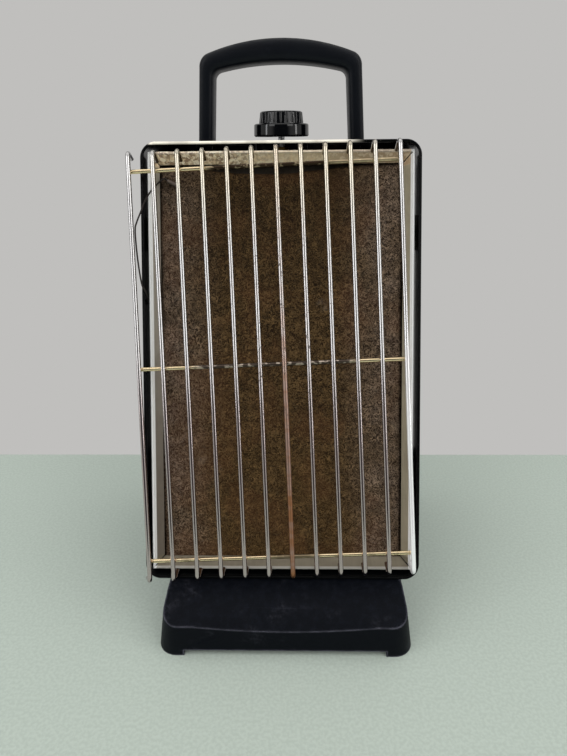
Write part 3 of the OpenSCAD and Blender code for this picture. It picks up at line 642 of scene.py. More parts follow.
@dataclass(frozen=True)
class GuardWire(Finish):
    """Bright plated guard wire, browned along its hottest bar and pitted near the middle rod, with a
    painted reflection on its end bar.
    """

    span: SlopeSpan
    bright: Colour = srgb(186, 185, 185)
    warm: Colour = srgb(188, 177, 148)
    cool: Colour = srgb(192, 179, 178)
    burnt: Colour = srgb(150, 102, 66)
    soot: Colour = srgb(46, 34, 26)
    # Near white of the painted reflection on the end bar.
    gleam: Colour = srgb(250, 250, 250)
    gloss: float = 0.11
    tilt: float = 0.0379
    mid_up: float = 160.0
    hot_bar: float = 2.7
    hot_lane: Zone = (10.0, 7.0)
    hot_up: Zone = (240.0, 130.0)
    near_lane: Zone = (48.0, 20.0)
    warm_lane: Zone = (95.0, 60.0)
    warm_middle: float = -4.0
    warm_up: Zone = (235.0, 310.0)
    pitted_lane: Zone = (60.0, 12.0)
    pitted_reach: Zone = (140.0, 30.0)
    pitted_middle: float = 190.0
    cool_up: Zone = (190.0, 90.0)
    end_lane: Zone = (80.0, 84.0)
    end_up: Zone = (230.0, 110.0)

    def lane(self, shader: Shader) -> tuple[Socket, Socket]:
        """Returns the place across the guard, from its hottest bar, and the place up the face.

        Args:
            shader: the material that needs them.

        Returns:
            Millimetres from the hottest bar, and up the face.
        """
        across, up = self.span.coordinates(shader)
        return across + (up - self.mid_up) * self.tilt - self.hot_bar, up

    def dress(self, shader: Shader) -> None:
        """Lays out the browned bar, the warm upper ends, the pits and the painted reflection on the end
        bar.

        Args:
            shader: the material to fill.
        """
        lane, up = self.lane(shader)
        mottle = shader.cloud(9.0, 4.0, stretch=(0.4, 1, 1)).step(0.36, 0.66)
        hot = abs(lane).step(*self.hot_lane) * (0.15 + 0.85 * up.step(*self.hot_up)) * (0.7 + 0.3 * mottle)
        near_hot = abs(lane).step(*self.near_lane) * mottle * 0.12
        warmth = up.step(*self.warm_up) * abs(lane - self.warm_middle).step(*self.warm_lane) * 0.6
        pits = shader.cloud(1.6, 3.0, stretch=(1, 0.5, 0.5)).step(0.6, 0.68)
        near_rod = abs(up - self.pitted_middle).step(*self.pitted_reach)
        pitted = pits * abs(lane).step(*self.pitted_lane) * near_rod * 0.8
        plated = shader.mix(up.step(*self.cool_up), self.bright, self.cool)
        warmed = shader.mix(warmth, plated, self.warm)
        # The end bar is painted near white in its lower part: a painted reflection of the light at the
        # side.
        end = lane.step(*self.end_lane) * up.step(*self.end_up)
        white = shader.mix(end, warmed, self.gleam)
        browned = shader.mix((hot * 0.85 + near_hot).at_most(1.0), white, self.burnt)
        sooty = shader.mix(pitted, browned, self.soot)
        rough = self.gloss + hot * 0.25 + near_hot * 0.1 + pitted * 0.2
        metal = 1.0 - pitted * 0.5 - hot * 0.25 - end * 0.6
        shader.surface(Base_Color=sooty, Metallic=metal, Roughness=rough)


@dataclass(frozen=True)
class GuardRod(GuardWire):
    """Cross rods: golden at their ends, burnt nearly black with pale flecks at the hottest places."""

    bright: Colour = srgb(246, 224, 182)
    burnt: Colour = srgb(40, 24, 18)
    fleck: Colour = srgb(206, 192, 178)
    gloss: float = 0.2
    high_rod: Zone = (230.0, 240.0)
    low_rod: Zone = (90.0, 80.0)
    high_left: Zone = (-54.0, -46.0)
    high_right: Zone = (34.0, 44.0)
    middle_left: Zone = (-72.0, -58.0)
    middle_right: Zone = (56.0, 44.0)
    low_reach: Zone = (24.0, 10.0)

    def dress(self, shader: Shader) -> None:
        """Lays out the burnt stretches of the three rods and their flecks.

        Args:
            shader: the material to fill.
        """
        lane, up = self.lane(shader)
        high = up.step(*self.high_rod)
        low = up.step(*self.low_rod)
        middle = (1.0 - high) * (1.0 - low)
        at_top = lane.step(*self.high_left) * (1.0 - 0.5 * lane.step(*self.high_right))
        at_middle = lane.step(*self.middle_left) * lane.step(*self.middle_right)
        at_low = abs(lane).step(*self.low_reach) * 0.75 + shader.cloud(11.0, 3.0).step(0.54, 0.62) * 0.4
        hot = (high * at_top + middle * at_middle * 0.92 + low * at_low).at_most(1.0)
        fleck = shader.cloud(2.6, 3.0, stretch=(0.6, 1, 1)).step(0.52, 0.6)
        burnt = (hot * (1.0 - fleck * (0.35 + 0.5 * middle))).at_most(1.0)
        pale = shader.mix(middle * hot, self.bright, self.fleck)
        tinted = shader.mix(burnt * 0.97, pale, self.burnt)
        rough = self.gloss + hot * 0.22
        shader.surface(Base_Color=tinted, Metallic=1.0, Roughness=rough)


@dataclass(frozen=True)
class Metal(Finish):
    """Plain worked metal with brushed or cast texture and light staining."""

    colour: Colour = srgb(180, 180, 178)
    stain: Colour = srgb(110, 106, 98)
    gloss: float = 0.3
    streak: Sequence[float] = (1, 1, 0.08)
    grain: float = 0.4
    depth: float = 0.01
    stained: float = 0.35

    def dress(self, shader: Shader) -> None:
        """Lays out the streaks and stains.

        Args:
            shader: the material to fill.
        """
        lines = shader.cloud(self.grain, 3.0, stretch=self.streak)
        blotch = shader.cloud(11.0, 5.0, warp=0.6).step(0.42, 0.75)
        tinted = shader.mix(blotch * self.stained, self.colour, self.stain)
        rough = self.gloss + lines * 0.12 + blotch * 0.15
        relief = shader.bump(lines, self.depth)
        shader.surface(Base_Color=tinted, Metallic=1.0, Roughness=rough, Normal=relief)


@dataclass(frozen=True)
class SmoothPlastic(Finish):
    """Glossy or satin moulded plastic with handling marks."""

    colour: Colour = srgb(10, 11, 13)
    dust: Colour = srgb(90, 94, 104)
    gloss: float = 0.16
    grain: float = 0.3
    depth: float = 0.004
    dusty: float = 0.06

    def dress(self, shader: Shader) -> None:
        """Lays out the fine grain, the handling marks and dust specks.

        Args:
            shader: the material to fill.
        """
        fine = shader.cloud(self.grain, 2.0)
        wipe = shader.cloud(15.0, 4.0, warp=0.9).step(0.42, 0.75)
        speck = shader.cells(1.7, "F1").step(0.16, 0.06) * shader.cloud(8.0).step(0.45, 0.62)
        tinted = shader.mix(wipe * self.dusty + speck * self.dusty * 2.0, self.colour, self.dust)
        rough = self.gloss + wipe * 0.1 + fine * 0.05
        shader.surface(Base_Color=tinted, Roughness=rough, Normal=shader.bump(fine, self.depth))


@dataclass(frozen=True)
class WovenSleeve(Finish):
    """Scorched woven sleeve of the sensor lead."""

    colour: Colour = srgb(20, 15, 13)
    thread: Colour = srgb(40, 31, 26)

    def dress(self, shader: Shader) -> None:
        """Lays out the braid's two ways of threads.

        Args:
            shader: the material to fill.
        """
        def threads(turn: float) -> Socket:
            """Returns the bands of threads that run one way."""
            inputs = {"Vector": shader.place(turn=(0, turn, 0)), "Scale": 0.9, "Distortion": 0.4}
            return shader.node("ShaderNodeTexWave", inputs, output=1)

        braid = threads(0.0).at_least(threads(1.2))
        tinted = shader.mix(braid * 0.8, self.colour, self.thread)
        shader.surface(Base_Color=tinted, Roughness=0.8, Normal=shader.bump(braid, 0.05))


# Geometry


@dataclass(frozen=True)
class SlopedFace:
    """The burner face's own frame: across, up the face and into the case, in millimetres."""

    lean: float
    origin: Vector

    def point(self, across: float, up: float, deep: float) -> Vector:
        """Places a point of the face in the heater's frame.

        Args:
            across: millimetres to the right of the middle.
            up: millimetres up the face from the case's bottom.
            deep: millimetres into the case.

        Returns:
            The point in metres.
        """
        c, s = math.cos(self.lean), math.sin(self.lean)
        return self.origin + MM * Vector((across, deep * c + up * s, up * c - deep * s))

    def measure(self, node: bpy.types.Object) -> tuple[Vector, Vector]:
        """Measures a node in the face's frame.

        Args:
            node: the piece to measure.

        Returns:
            Its lowest and highest corners: across, up and deep, in millimetres.
        """
        c, s = math.cos(self.lean), math.sin(self.lean)
        rows = []
        for vertex in node.data.vertices:
            p = (vertex.co - self.origin) / MM
            rows.append((p.x, p.y * s + p.z * c, p.y * c - p.z * s))
        low = Vector(min(r[i] for r in rows) for i in range(3))
        high = Vector(max(r[i] for r in rows) for i in range(3))
        return low, high


def new_piece(
    name: str, points: Sequence[Vector], faces: Sequence[Sequence[int]], finish: Finish,
) -> bpy.types.Object:
    """Makes a mesh piece with smooth faces and one finish.

    Args:
        name: the piece's name.
        points: its corners in metres.
        faces: the corners of each face.
        finish: its finish.

    Returns:
        The new object.
    """
    mesh = bpy.data.meshes.new(name)
    mesh.from_pydata([tuple(p) for p in points], [], [tuple(f) for f in faces])
    mesh.validate()
    mesh.shade_smooth()
    mesh.materials.append(finish.material())
    piece = bpy.data.objects.new(name, mesh)
    bpy.context.scene.collection.objects.link(piece)
    return piece


def loft(rings: Sequence[Sequence[Vector]]) -> tuple[list[Vector], list[list[int]]]:
    """Joins rings of equal length into a closed skin.

    Args:
        rings: the rings in order, each turning the same way.

    Returns:
        The points and faces.
    """
    count = len(rings[0])
    points = [p for ring in rings for p in ring]
    faces = [list(range(count))[::-1]]
    for i in range(len(rings) - 1):
        for k in range(count):
            m = (k + 1) % count
            faces.append([i * count + k, i * count + m, (i + 1) * count + m, (i + 1) * count + k])
    last = (len(rings) - 1) * count
    faces.append([last + k for k in range(count)])
    return points, faces


def soften(piece: bpy.types.Object, width: float, limit: float = 32.0) -> None:
    """Joins a node's seams, rounds its sharp edges a little and shades it smooth between them.

    Args:
        piece: the node.
        width: width of the rounding in millimetres, or 0 for none.
        limit: angle in degrees above which an edge counts as sharp.
    """
    mesh = piece.data
    if "custom_normal" in mesh.attributes:
        mesh.attributes.remove(mesh.attributes["custom_normal"])
    mesh.shade_smooth()
    weld = piece.modifiers.new("joined", "WELD")
    weld.merge_threshold = 0.002 * MM
    if width:
        bevel = piece.modifiers.new("rounded", "BEVEL")
        bevel.width = width * MM
        bevel.segments = 2
        bevel.limit_method = "ANGLE"
        bevel.angle_limit = math.radians(limit)
        bevel.use_clamp_overlap = True
        bevel.miter_outer = "MITER_ARC"
    shade = piece.modifiers.new("shaded", "NODES")
    shade.node_group = smooth_by_angle(limit)


def smooth_by_angle(limit: float) -> bpy.types.NodeTree:
    """Returns the node group that keeps edges over an angle sharp.

    Args:
        limit: the angle in degrees.

    Returns:
        The group, made once for each angle.
    """
    name = f"smooth_{limit:.0f}"
    group = bpy.data.node_groups.get(name)
    if group:
        return group
    group = bpy.data.node_groups.new(name, "GeometryNodeTree")
    group.interface.new_socket("Geometry", in_out="INPUT", socket_type="NodeSocketGeometry")
    group.interface.new_socket("Geometry", in_out="OUTPUT", socket_type="NodeSocketGeometry")
    entry = group.nodes.new("NodeGroupInput")
    leave = group.nodes.new("NodeGroupOutput")
    angle = group.nodes.new("GeometryNodeInputMeshEdgeAngle")
    compare = group.nodes.new("FunctionNodeCompare")
    compare.data_type = "FLOAT"
    compare.operation = "LESS_THAN"
    compare.inputs[1].default_value = math.radians(limit)
    faces = group.nodes.new("GeometryNodeSetShadeSmooth")
    faces.domain = "FACE"
    edges = group.nodes.new("GeometryNodeSetShadeSmooth")
    edges.domain = "EDGE"
    link = group.links.new
    link(entry.outputs[0], faces.inputs["Geometry"])
    link(faces.outputs[0], edges.inputs["Geometry"])
    link(angle.outputs[0], compare.inputs[0])
    link(compare.outputs[0], edges.inputs["Shade Smooth"])
    link(edges.outputs[0], leave.inputs[0])
    return group


# Sub-assemblies


@dataclass
class Heater:
    """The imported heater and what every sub-assembly needs of it."""

    frame: dict
    face: SlopedFace
    span: SlopeSpan
    rounding: Mapping[str, float]

    def node(self, name: str) -> bpy.types.Object:
        """Returns the node of that name."""
        return self.frame["nodes"][name]

    def dress(self, name: str, finish: Finish) -> None:
        """Gives a node its finish and rounds its edges.

        Args:
            name: the node.
            finish: its finish.
        """
        piece = self.node(name)
        piece.data.materials.clear()
        piece.data.materials.append(finish.material())
        soften(piece, self.rounding.get(name, SMALL_ROUNDING))
        LOG.info("%s: %s", name, finish.name)

    def stand_for(self, piece: bpy.types.Object, slot: str, *nodes: str) -> None:
        """Fixes a new piece to the heater in place of its nodes.

        Args:
            piece: the new piece.
            slot: not used.
            nodes: the nodes that it stands for.
        """
        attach(piece, BODY)
        if nodes:
            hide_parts(*nodes)
        LOG.info("%s stands for %s", piece.name, ", ".join(nodes) or "itself")


@dataclass
class CatalystPad:
    """The felted fibre pad: a thick sheet that has slumped a little in its frame."""

    heater: Heater
    step: float = 1.5
    relief: float = 0.35
    sag: float = 8.0
    sag_middle: float = -12.0
    sag_reach: float = 62.0
    edge_round: float = 3.0
    shrink_left: float = 2.6
    shrink_right: float = 3.6
    floor_gap: float = 2.3
    top_gap: float = 2.0
    wave_left: float = 0.8
    wave_right: float = 0.9
    wave_top: float = 0.7
    set_back: float = 0.75
    swell: float = 0.55
    crumple: float = 0.75
    crumple_across: Zone = (-62.0, -92.0)
    crumple_up: Zone = (250.0, 300.0)

    def front(self, across: float, up: float, front_z: float) -> float:
        """Returns the depth of the pad's front at a place.

        Args:
            across: millimetres from the middle.
            up: millimetres up the face.
            front_z: depth of the front of the pad's solid.

        Returns:
            The depth in millimetres.
        """
        place = Vector((across, up, 3.1))
        swell = noise.noise(place / 60.0) * 0.5 + noise.noise(place / 22.0) * 0.35
        fibre = noise.noise(place / 3.0) * 0.6 + noise.noise(place / 1.7) * 0.4
        corner = smooth(*self.crumple_across, across) * smooth(*self.crumple_up, up)
        fold = max(math.sin(across * 0.55 - up * 0.22) * corner, -0.6)
        return front_z + self.set_back + self.swell * swell + self.relief * fibre + self.crumple * fold

    def front_grid(self, low: Vector, high: Vector) -> tuple[list[Vector], int, int]:
        """Lays out the pad's front, slumped at the top, with rounded edges.

        Args:
            low: lowest corner of the pad's solid in the face's frame.
            high: its highest corner.

        Returns:
            The points row by row, and the number of columns and rows of faces.
        """
        face = self.heater.face
        left, right = low.x + self.shrink_left, high.x - self.shrink_right
        columns = int((right - left) / self.step)
        rows = int((high.y - low.y) / self.step)
        bottom = (self.floor_gap + (low.z + 1.0) * math.sin(face.lean)) / math.cos(face.lean)
        points: list[Vector] = []
        for j in range(rows + 1):
            b = j / rows
            side_l = left + self.wave_left * noise.noise(Vector((7.0, b * 9.0, 0.0)))
            side_r = right + self.wave_right * noise.noise(Vector((2.0, b * 7.0, 5.0)))
            for i in range(columns + 1):
                across = side_l + (side_r - side_l) * i / columns
                drop = self.sag * math.exp(-(((across - self.sag_middle) / self.sag_reach) ** 2))
                wave = self.wave_top * noise.noise(Vector((across / 14.0, 1.0, 0.0)))
                top = high.y - self.top_gap - drop - wave
                nearest = min(across - side_l, side_r - across, top - (low.y + (top - low.y) * b))
                rounding = self.edge_round * (1 - smooth(0, self.edge_round, nearest))
                up = bottom + (top - bottom) * b
                points.append(face.point(across, up, self.front(across, up, low.z) + rounding))
        return points, columns, rows

    def build(self) -> bpy.types.Object:
        """Makes the pad's mesh in place of its solid.

        Returns:
            The pad.
        """
        face = self.heater.face
        low, high = face.measure(self.heater.node("catalyst_pad"))
        points, columns, rows = self.front_grid(low, high)
        wide = columns + 1
        faces: list[Sequence[int]] = []
        for j in range(rows):
            faces += [(k, k + 1, k + 1 + wide, k + wide) for k in range(j * wide, j * wide + columns)]
        rim = list(range(wide))
        rim += [j * wide + columns for j in range(1, rows + 1)]
        rim += [rows * wide + i for i in range(columns - 1, -1, -1)]
        rim += [j * wide for j in range(rows - 1, 0, -1)]
        back = len(points)
        c, s = math.cos(face.lean), math.sin(face.lean)
        for k in rim:
            p = (points[k] - face.origin) / MM
            lift = max(p.y * s + p.z * c, (self.floor_gap + high.z * s) / c)
            points.append(face.point(p.x, lift, high.z))
        count = len(rim)
        for k in range(count):
            m = (k + 1) % count
            faces.append((rim[k], back + k, back + m, rim[m]))
        faces.append(tuple(back + k for k in range(count)))
        piece = new_piece("fibre_pad", points, faces, CatalystFelt("catalyst_felt", self.heater.span))
        self.heater.stand_for(piece, "catalyst_fibre", "catalyst_pad")
        return piece

    def build_strands(self, count: int = 2200) -> bpy.types.Object:
        """Makes the loose curled fibres on the pad's face.

        Args:
            count: number of fibres.

        Returns:
            The fibres as one piece.
        """
        rng = random.Random(SEED)
        face = self.heater.face
        low, high = face.measure(self.heater.node("catalyst_pad"))
        points: list[Vector] = []
        faces: list[Sequence[int]] = []
        for _ in range(count):
            across = rng.uniform(low.x + 9, high.x - 10)
            up = rng.uniform(low.y + 12, high.y - 22)
            heading = rng.uniform(0, 2 * math.pi)
            curl = rng.uniform(-0.9, 0.9)
            reach = rng.uniform(0.45, 0.75)
            thick = rng.uniform(0.13, 0.22)
            length = rng.randint(4, 7)
            rings = []
            for k in range(length):
                lift = 0.05 + 0.3 * math.sin(math.pi * k / (length - 1))
                depth = self.front(across, up, low.z) - lift
                ring = []
                for a in (0.0, math.radians(120), math.radians(240)):
                    side, out = thick * math.cos(a), thick * math.sin(a)
                    beside = (across - math.sin(heading) * side, up + math.cos(heading) * side)
                    ring.append(face.point(*beside, depth - out))
                rings.append(ring)
                across += reach * math.cos(heading)
                up += reach * math.sin(heading)
                heading += curl * 0.7 + rng.uniform(-0.25, 0.25)
            made, cover = loft(rings)
            base = len(points)
            points += made
            faces += [[base + k for k in f] for f in cover]
        finish = CatalystFelt(
            "loose_fibre", self.heater.span, deep=srgb(74, 58, 38), fibre=srgb(130, 110, 80),
            side_deep=srgb(92, 82, 72), side_fibre=srgb(142, 128, 116),
        )
        piece = new_piece("loose_fibres", points, faces, finish)
        self.heater.stand_for(piece, "catalyst_fibre")
        return piece


@dataclass
class CarryHandle:
    """The arched handle, moulded with two faint mould lines along its grip."""

    heater: Heater
    height: float = 70.0
    width: float = 128.6
    draw: float = 3.7
    leg: float = 11.8
    leg_taper: float = 0.8
    grip: float = 16.5
    crown: float = 160.0
    palm: float = 215.0
    turn: float = 10.0
    palm_turn: float = 6.0
    power: float = 0.55
    sides: int = 48
    leg_steps: int = 12
    shoulder_steps: int = 14
    crown_steps: int = 24
    creases: Sequence[tuple[float, float]] = ((268.0, 0.32), (232.0, 0.22))
    crease_width: float = 5.0
    crease_room: float = 0.35

    def arch(self, top: float, radius: float, across: float) -> float:
        """Returns the height of an arc that crowns at top."""
        return top - radius + math.sqrt(radius * radius - across * across)

    def shoulder(self, edge: float, radius: float, arc: float, top: float) -> tuple[Vector, float]:
        """Fits a shoulder that touches the leg and the crown's arc.

        Args:
            edge: the leg's distance from the middle, in millimetres.
            radius: the shoulder's radius.
            arc: the crown's radius.
            top: the crown's height.

        Returns:
            The shoulder's centre, and the angle in radians that it turns through.
        """
        across, inside = edge - radius, arc - radius
        return Vector((across, self.arch(top - radius, inside, across))), math.acos(across / inside)

    def stations(self) -> list[tuple[Vector, Vector, float]]:
        """Works out the outer and inner points along one half.

        Returns:
            Outer point, inner point and the share of the grip at each station.
        """
        outer_x = self.width / 2 - self.draw
        inner_x = outer_x - self.leg + self.leg_taper
        top, under = self.height, self.height - self.grip
        outer, outer_sweep = self.shoulder(outer_x, self.turn, self.crown, top)
        inner, inner_sweep = self.shoulder(inner_x, self.palm_turn, self.palm, under)
        rows = []
        for i in range(self.leg_steps + 1):
            s = i / self.leg_steps
            inner_draw = (self.draw - self.leg_taper) * s
            rows.append((
                Vector((self.width / 2 - self.draw * s, outer.y * s)),
                Vector((self.width / 2 - self.leg - inner_draw, inner.y * s)), 0.0,
            ))
        for i in range(1, self.shoulder_steps):
            s = i / self.shoulder_steps
            a, b = outer_sweep * s, inner_sweep * s
            rows.append((
                outer + self.turn * Vector((math.cos(a), math.sin(a))),
                inner + self.palm_turn * Vector((math.cos(b), math.sin(b))), s,
            ))
        outer_end = outer.x + self.turn * math.cos(outer_sweep)
        inner_end = inner.x + self.palm_turn * math.cos(inner_sweep)
        for i in range(self.crown_steps + 1):
            s = 1 - i / self.crown_steps
            rows.append((
                Vector((outer_end * s, self.arch(top, self.crown, outer_end * s))),
                Vector((inner_end * s, self.arch(under, self.palm, inner_end * s))), 1.0,
            ))
        return rows

    def ring(self, outer: Vector, inner: Vector, share: float, place: Vector, deep: float) -> list[Vector]:
        """Makes one closed ring of the moulded section.

        Args:
            outer: outer point of the station, in millimetres.
            inner: inner point of the station.
            share: how far the station belongs to the grip.
            place: foot of the handle in metres.
            deep: front to back depth in millimetres.

        Returns:
            The ring's points.
        """
        def bulge(value: float) -> float:
            """Squares off a circle's coordinate."""
            return math.copysign(abs(value) ** self.power, value)

        middle, arm = (outer + inner) / 2, (outer - inner) / 2
        ring = []
        for k in range(self.sides):
            angle = 360.0 * k / self.sides
            a = math.radians(angle)
            p = middle + arm * bulge(math.cos(a))
            ridge = sum(
                rise * math.exp(-(((angle - at) / self.crease_width) ** 2)) for at, rise in self.creases
            )
            y = (deep / 2 - self.crease_room) * bulge(math.sin(a)) - share * ridge
            ring.append(place + MM * Vector((p.x, y, p.y)))
        return ring

    def build(self) -> bpy.types.Object:
        """Makes the handle in place of its node.

        Returns:
            The handle.
        """
        low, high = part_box("handle")
        place = Vector(((low.x + high.x) / 2, (low.y + high.y) / 2, low.z))
        deep = (high.y - low.y) / MM
        half = self.stations()
        line = half + [(Vector((-o.x, o.y)), Vector((-i.x, i.y)), s) for o, i, s in half[-2::-1]]
        rings = [self.ring(o, i, s, place, deep) for o, i, s in line]
        finish = GrainedPlastic(
            "handle_plastic", colour=srgb(10, 14, 21), highlight_and_rub=srgb(48, 52, 62), grain=0.6, depth=0.03,
            gloss=0.34, shine=0.15, dust_and_sheen_share=0.02, edge_highlight_and_rub=0.0,
        )
        piece = new_piece("arched_handle", *loft(rings), finish)
        soften(piece, 0.0, 50.0)
        self.heater.stand_for(piece, "handle_plastic", "handle")
        return piece


@dataclass
class SensorLead:
    """The thin sensor lead, laid along the same route as its solid."""

    heater: Heater
    radius: float = 0.6
    sides: int = 14
    rings_each: int = 8
    seated: float = 0.4
    straight: float = 6.0
    route: Sequence[tuple[float, float, float]] = (
        (-85.5, 12.1, 299), (-88.5, 12.1, 300.5), (-93.5, 7.6, 294), (-97.2, 2.2, 286.5),
        (-99.8, -1.3, 279.5), (-101.6, -2.8, 273.5), (-104.8, -4.2, 264.5), (-105.8, -4.8, 258.5),
        (-104.9, -4.4, 243), (-103.4, -3.6, 229), (-101.9, -2.8, 219.5), (-100.2, -1.9, 216),
        (-99.45, 0.6, 212.5), (-99.45, 5, 210), (-99.45, 20, 208), (-99.4, 32, 213), (-95, 43, 228),
        (-82, 50, 252), (-62, 54, 276), (-42, 54, 291),
    )

    def centreline(self) -> list[Vector]:
        """Works out the smooth line through the route.

        Returns:
            Its points in metres.
        """
        face = self.heater.face
        knots = [face.point(u, v, w) for u, w, v in self.route]
        low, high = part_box("thermocouple_nut")
        end = Vector((low.x + self.seated * MM, (low.y + high.y) / 2, (low.z + high.z) / 2))
        knots += [end - Vector((self.straight * MM, 0, 0)), end]
        line = []
        last = len(knots) - 1
        for i in range(last):
            a, b, c, d = knots[max(i - 1, 0)], knots[i], knots[i + 1], knots[min(i + 2, last)]
            for k in range(self.rings_each):
                t = k / self.rings_each
                line.append(0.5 * (2 * b + (c - a) * t + (2 * a - 5 * b + 4 * c - d) * t * t
                                   + (3 * b - a - 3 * c + d) * t ** 3))
        line.append(knots[last])
        return line

    def build(self) -> bpy.types.Object:
        """Makes the lead in place of its node.

        Returns:
            The lead.
        """
        line = self.centreline()
        side = Vector((0.2, 1.0, 0.1))
        rings = []
        for i, p in enumerate(line):
            along = (line[min(i + 1, len(line) - 1)] - line[max(i - 1, 0)]).normalized()
            side = (side - along * side.dot(along)).normalized()
            up = along.cross(side)
            turns = [2 * math.pi * k / self.sides for k in range(self.sides)]
            rings.append([p + self.radius * MM * (side * math.cos(a) + up * math.sin(a)) for a in turns])
        piece = new_piece("sensor_lead", *loft(rings), WovenSleeve("lead_sleeve"))
        soften(piece, 0.0, 60.0)
        self.heater.stand_for(piece, "lead_sheath", "thermocouple_lead")
        length = sum((b - a).length for a, b in zip(line, line[1:]))
        2 * self.radius * MM
        return piece


@dataclass(frozen=True)
class Lamp:
    """A soft rectangular lamp: its place and size in metres, and its power in watts."""

    name: str
    at: Sequence[float]
    size: Sequence[float]
    power: float
    colour: Colour


@dataclass
class Studio:
    """The plain table, pale surroundings, soft lamps and the camera."""

    middle_x: float
    camera_at: Sequence[float] = (10.89, -415.3, 344.5)
    pitch: float = 22.447
    yaw: float = 1.349
    roll: float = -0.649
    lens: float = 27.05
    sensor: float = 36.0
    table_edge: float = 178.0
    table_reach: float = 1600.0
    table: Colour = srgb(176, 187, 177)
    wall: Colour = srgb(192, 191, 189)
    light: Colour = (0.62, 0.62, 0.63)
    viewer: Colour = srgb(36, 36, 38)
    viewer_ahead: Zone = (0.0, -0.6)
    viewer_across: Zone = (0.72, 0.4)
    aim: Sequence[float] = (0.0, 0.0, 0.2)
    lamps: Sequence[Lamp] = (
        Lamp("overhead", (0.0, -0.2, 1.7), (3.2, 2.4), 16.0, (1.0, 0.99, 0.97)),
        Lamp("front_left", (-1.2, -1.45, 1.3), (0.9, 1.4), 7.0, (1.0, 0.99, 0.98)),
        Lamp("front_right", (1.2, -1.45, 1.3), (0.9, 1.4), 7.0, (1.0, 0.99, 0.98)),
        Lamp("left_window", (-1.2, -0.55, 0.8), (0.18, 1.4), 3.6, (0.97, 0.98, 1.0)),
        Lamp("right_window", (1.2, -0.5, 0.75), (0.18, 1.4), 3.6, (1.0, 0.99, 0.97)),
    )

    def add_camera(self) -> None:
        """Sets the camera at the photograph's place and angle."""
        data = bpy.data.cameras.new("camera")
        data.sensor_width = self.sensor
        data.lens = self.lens
        data.clip_start, data.clip_end = 0.01, 50.0
        camera = bpy.data.objects.new("camera", data)
        bpy.context.scene.collection.objects.link(camera)
        p, y, r = (math.radians(a) for a in (self.pitch, self.yaw, self.roll))
        right = Vector((math.cos(y), math.sin(y), 0.0))
        ahead = Vector((-math.sin(y), math.cos(y), 0.0))
        up = Vector((0.0, 0.0, 1.0))
        forward = ahead * math.cos(p) - up * math.sin(p)
        above = ahead * math.sin(p) + up * math.cos(p)
        turned = right * math.cos(r) + above * math.sin(r)
        over = above * math.cos(r) - right * math.sin(r)
        turn = Matrix((turned, over, -forward)).transposed().to_4x4()
        place = MM * Vector(self.camera_at) + Vector((self.middle_x, 0.0, 0.0))
        camera.matrix_world = Matrix.Translation(place) @ turn
        bpy.context.scene.camera = camera

    def add_lamp(self, lamp: Lamp) -> None:
        """Adds one soft lamp that faces the heater.

        Args:
            lamp: the lamp to add.
        """
        data = bpy.data.lights.new(lamp.name, "AREA")
        data.shape = "RECTANGLE"
        data.size, data.size_y = lamp.size
        data.energy = lamp.power
        data.color = lamp.colour
        made = bpy.data.objects.new(lamp.name, data)
        bpy.context.scene.collection.objects.link(made)
        made.location = Vector(lamp.at)
        made.rotation_euler = (Vector(self.aim) - made.location).to_track_quat("-Z", "Y").to_euler()

    def add_world(self) -> None:
        """Makes the pale surroundings, a little darker towards where the viewer stands."""
        world = bpy.data.worlds.new("surroundings")
        bpy.context.scene.world = world
        world.use_nodes = True
        shader = Shader(world.node_tree)
        path = "ShaderNodeLightPath"
        seen = shader.node(path, output="Is Camera Ray")
        through = shader.node(path, output="Is Transmission Ray")
        mirrored = shader.node(path, output="Is Glossy Ray").at_least(through)
        way = shader.node("ShaderNodeTexCoord", output="Generated")
        x = shader.node("ShaderNodeSeparateXYZ", {0: way}, output=0)
        y = shader.node("ShaderNodeSeparateXYZ", {0: way}, output=1)
        viewer = y.step(*self.viewer_ahead) * abs(x).step(*self.viewer_across)
        room = shader.mix(viewer * 0.94, self.wall, self.viewer)
        lit = shader.mix(mirrored, self.light, room)
        colour = shader.mix(seen, lit, self.wall)
        light = shader.node("ShaderNodeBackground", {"Color": colour, "Strength": 1.0})
        shader.node("ShaderNodeOutputWorld", {"Surface": light})

    def add_table(self) -> None:
        """Makes the pale speckled table that the heater stands on."""
        half, edge = self.table_reach, self.table_edge
        corners = ((-half, -half), (half, -half), (half, edge), (-half, edge))
        points = [MM * Vector((*corner, 0.0)) for corner in corners]
        new_piece("table", points, [(0, 1, 2, 3)], TableTop("table_top", colour=self.table))

    def build(self) -> None:
        """Sets up everything round the heater."""
        bpy.context.scene.view_settings.view_transform = "Standard"
        self.add_camera()
        self.add_world()
        self.add_table()
        for lamp in self.lamps:
            self.add_lamp(lamp)


@dataclass(frozen=True)
class TableTop(Finish):
    """Plain painted board with a faint speckle."""

    colour: Colour
    darker: float = 0.72

    def dress(self, shader: Shader) -> None:
        """Lays out the faint speckle.

        Args:
            shader: the material to fill.
        """
        fleck = shader.cloud(2.2, 4.0).step(0.35, 0.65)
        tinted = shader.mix(fleck * 0.35, self.colour, tuple(self.darker * c for c in self.colour))
        shader.surface(Base_Color=tinted, Roughness=0.75, Specular_IOR_Level=0.2)


# The whole heater


